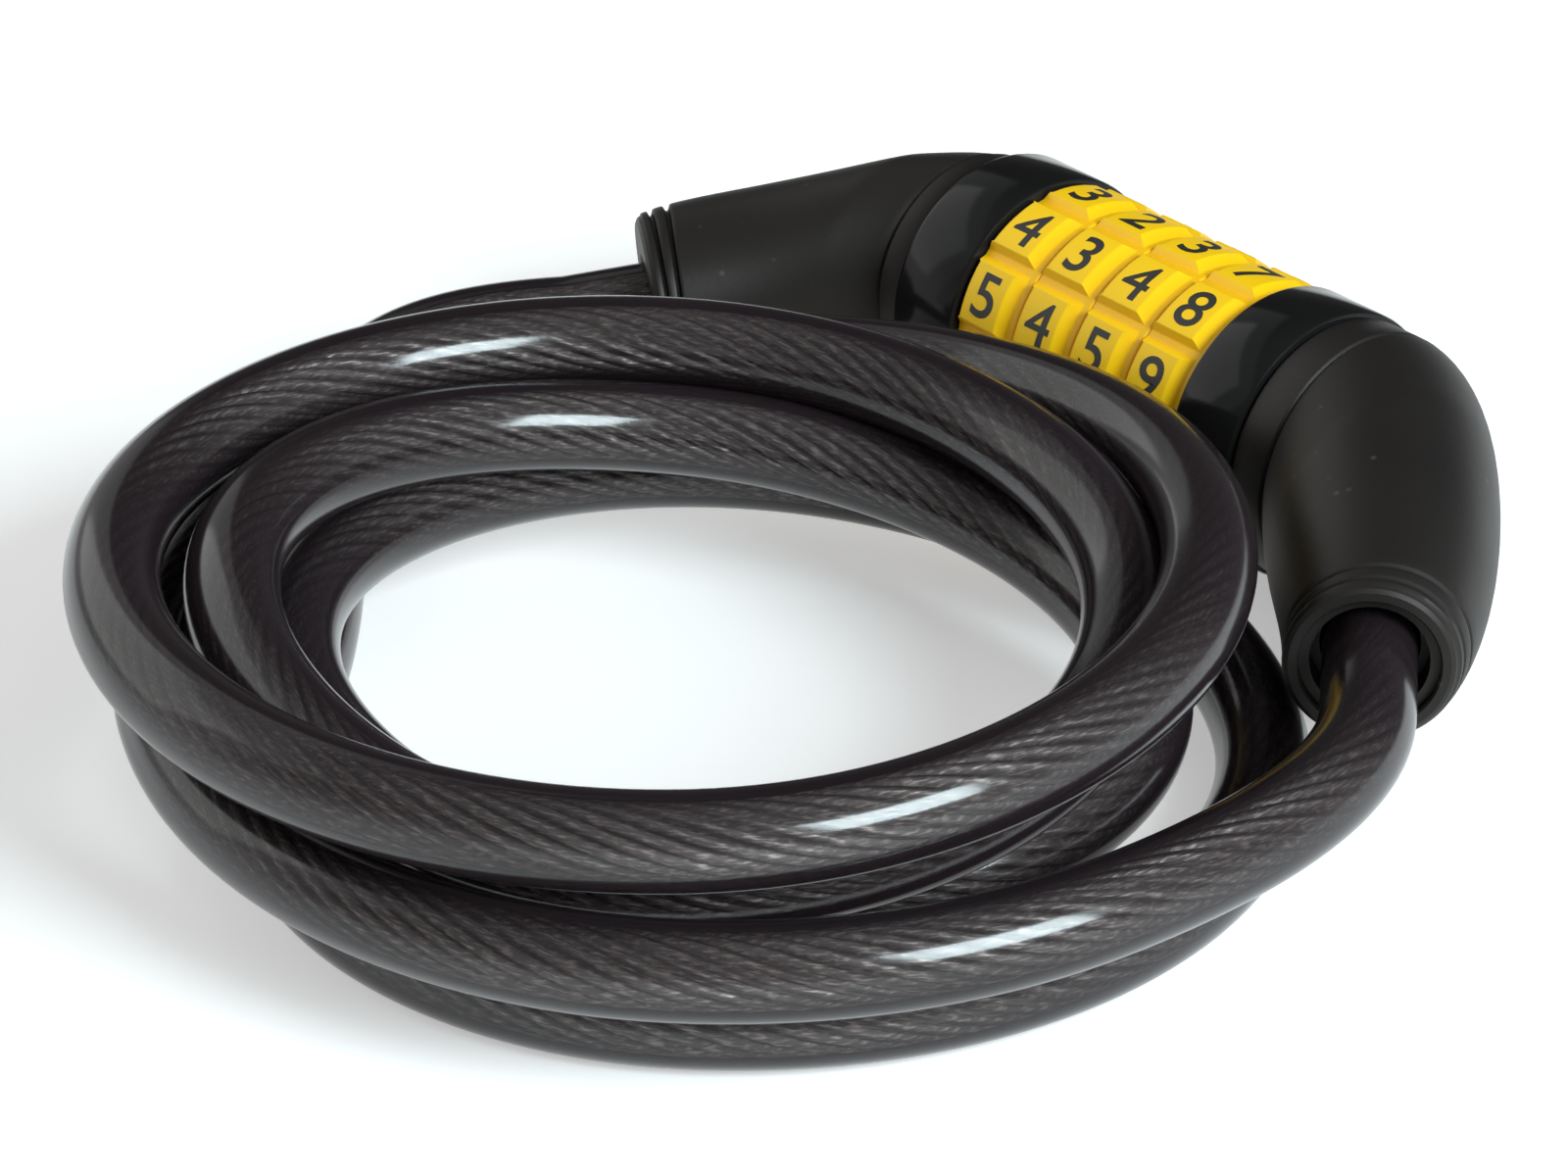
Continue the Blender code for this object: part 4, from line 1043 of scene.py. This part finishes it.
class LOCK_OT_figures(bpy.types.Operator):
    """Paints the figures 0 to 9 round each dial as a thin raised layer"""

    bl_idname = "lock.figures"
    bl_label = "Figures"

    def execute(self, context):
        sizes, finish = context.scene.lock_dial, context.scene.lock_finish
        colours = drift(finish.figure, 0.65, 1.35)
        ink = moulded("figure_black", (900.0, 45.0), colours, (0.41, 0.59), (0.6, 0.02 * MM))
        blanks = [self.draw_figure(str(figure), sizes) for figure in range(DIGITS)]
        pad_middle = (PAD_LEFT - sizes.valley) / 2
        for number, (first, x) in enumerate(zip(FIRST_FIGURES, dial_middles()), 1):
            placed = [
                self.place_figure(blanks[(first + j) % DIGITS], j, x + pad_middle, sizes)
                for j in range(DIGITS)
            ]
            figures = settle(self.wrap(placed, x, sizes), f"dial_figures_{number}", 40.0)
            finish_piece(figures, ink, DIAL_BODIES[number - 1], "dial")
        for blank in blanks:
            bpy.data.objects.remove(blank, do_unlink=True)
        return {"FINISHED"}

    def draw_figure(self, text, sizes):
        """A figure as a thick mesh, centred, with its face towards +Z."""
        activate()
        bpy.ops.object.text_add()
        figure = bpy.context.object
        figure.data.body = text
        figure.data.size = sizes.figure_height / FIGURE_SHARE
        figure.data.fill_mode = "NONE"
        figure.data.resolution_u = 6
        bpy.ops.object.convert(target="MESH")
        figure = bpy.context.object
        xs = [v.co.x for v in figure.data.vertices]
        ys = [v.co.y for v in figure.data.vertices]
        middle = Vector(((min(xs) + max(xs)) / 2, (min(ys) + max(ys)) / 2, FIGURE_BLOCK / 2))
        figure.data.transform(Matrix.Diagonal((FIGURE_WIDENING, 1, 1, 1)) @ Matrix.Translation(-middle))
        bpy.ops.object.mode_set(mode="EDIT")
        bpy.context.tool_settings.mesh_select_mode = (True, False, False)
        bpy.ops.mesh.select_all(action="SELECT")
        bpy.ops.mesh.remove_doubles(threshold=NEAR_POINTS)
        bpy.ops.mesh.fill()
        bpy.ops.mesh.select_all(action="SELECT")
        bpy.ops.mesh.extrude_region_move(TRANSFORM_OT_translate={"value": (0, 0, FIGURE_BLOCK)})
        bpy.ops.mesh.select_all(action="SELECT")
        bpy.ops.mesh.normals_make_consistent(inside=False)
        bpy.ops.transform.shrink_fatten(value=sizes.figure_stroke, use_even_offset=True)
        bpy.ops.object.mode_set(mode="OBJECT")
        return figure

    def place_figure(self, blank, index, x, sizes):
        """Stands a copy of the figure on its pad: its foot is towards the coil, its row runs along +X."""
        piece = linked_copy(blank)
        turned = sizes.pad_phase + math.tau * index / DIGITS
        radius = sizes.radius
        piece.location = (x, -math.sin(turned) * radius, AXIS_HEIGHT + math.cos(turned) * radius)
        piece.rotation_euler.x = turned
        return piece

    def wrap(self, placed, x, sizes):
        """Keeps only what lies in a thin shell round the pads."""
        activate()
        for piece in placed:
            piece.select_set(True)
        bpy.context.view_layer.objects.active = placed[0]
        bpy.ops.object.join()
        figures = bpy.context.object
        bpy.ops.object.transform_apply()
        inner, outer = sizes.radius - PAINT[0], sizes.radius + PAINT[1]
        low, high = x - 5 * MM, x + 5 * MM
        profile = ((low, inner), (low, outer), (high, outer), (high, inner))
        shell = loft("shell", round_sections(profile), 200, closed=True)
        apply_modifier(figures, "BOOLEAN", operation="INTERSECT", solver="MANIFOLD", object=shell)
        bpy.data.objects.remove(shell, do_unlink=True)
        edit_faces(figures, lambda middle, normal: True)
        bpy.ops.mesh.remove_doubles(threshold=SLIVER)
        bpy.ops.object.mode_set(mode="OBJECT")
        return figures


class LOCK_OT_metal(bpy.types.Operator):
    """Gives the inner pieces their metals"""

    bl_idname = "lock.metal"
    bl_label = "Inner metal"

    def execute(self, context):
        finish = context.scene.lock_finish
        metals = (
            (("barrel_core",), metal("die_cast_zinc", finish.zinc, 0.5)),
            (("gate_ring",), metal("turned_brass", finish.brass, 0.32)),
            (
                ("plug_pin", "snap_ring", "boot_", "plug_c", "detent"),
                metal("turned_steel", finish.steel, 0.28),
            ),
        )
        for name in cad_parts:
            for starts, finished in metals:
                if name.startswith(starts):
                    node = bpy.data.objects[name]
                    node.data.materials.clear()
                    node.data.materials.append(finished)
        return {"FINISHED"}


# ---------------------------------------------------------------- the panel


STEPS = (
    LOCK_OT_stage, LOCK_OT_cable, LOCK_OT_rings, LOCK_OT_housings, LOCK_OT_dials, LOCK_OT_figures,
    LOCK_OT_metal,
)


class LOCK_PT_panel(bpy.types.Panel):
    """Lists the steps in the order in which they run"""

    bl_idname = "LOCK_PT_panel"
    bl_label = "Cable lock"
    bl_space_type = "VIEW_3D"
    bl_region_type = "UI"
    bl_category = "Cable Lock"

    def draw(self, context):
        column = self.layout.column(align=True)
        for step in STEPS:
            column.operator(step.bl_idname)


SETTINGS = (
    ("lock_cable", CableSettings),
    ("lock_housing", HousingSettings),
    ("lock_dial", DialSettings),
    ("lock_finish", FinishSettings),
)


def register():
    for name, group in SETTINGS:
        bpy.utils.register_class(group)
        setattr(bpy.types.Scene, name, bpy.props.PointerProperty(type=group))
    for item in (*STEPS, LOCK_PT_panel):
        bpy.utils.register_class(item)


def unregister():
    for item in reversed((*STEPS, LOCK_PT_panel)):
        bpy.utils.unregister_class(item)
    for name, group in reversed(SETTINGS):
        delattr(bpy.types.Scene, name)
        bpy.utils.unregister_class(group)


def main():
    register()
    bpy.ops.lock.stage()
    bpy.ops.lock.cable()
    bpy.ops.lock.rings()
    bpy.ops.lock.housings()
    bpy.ops.lock.dials()
    bpy.ops.lock.figures()
    bpy.ops.lock.metal()


if __name__ == "__main__":
    main()
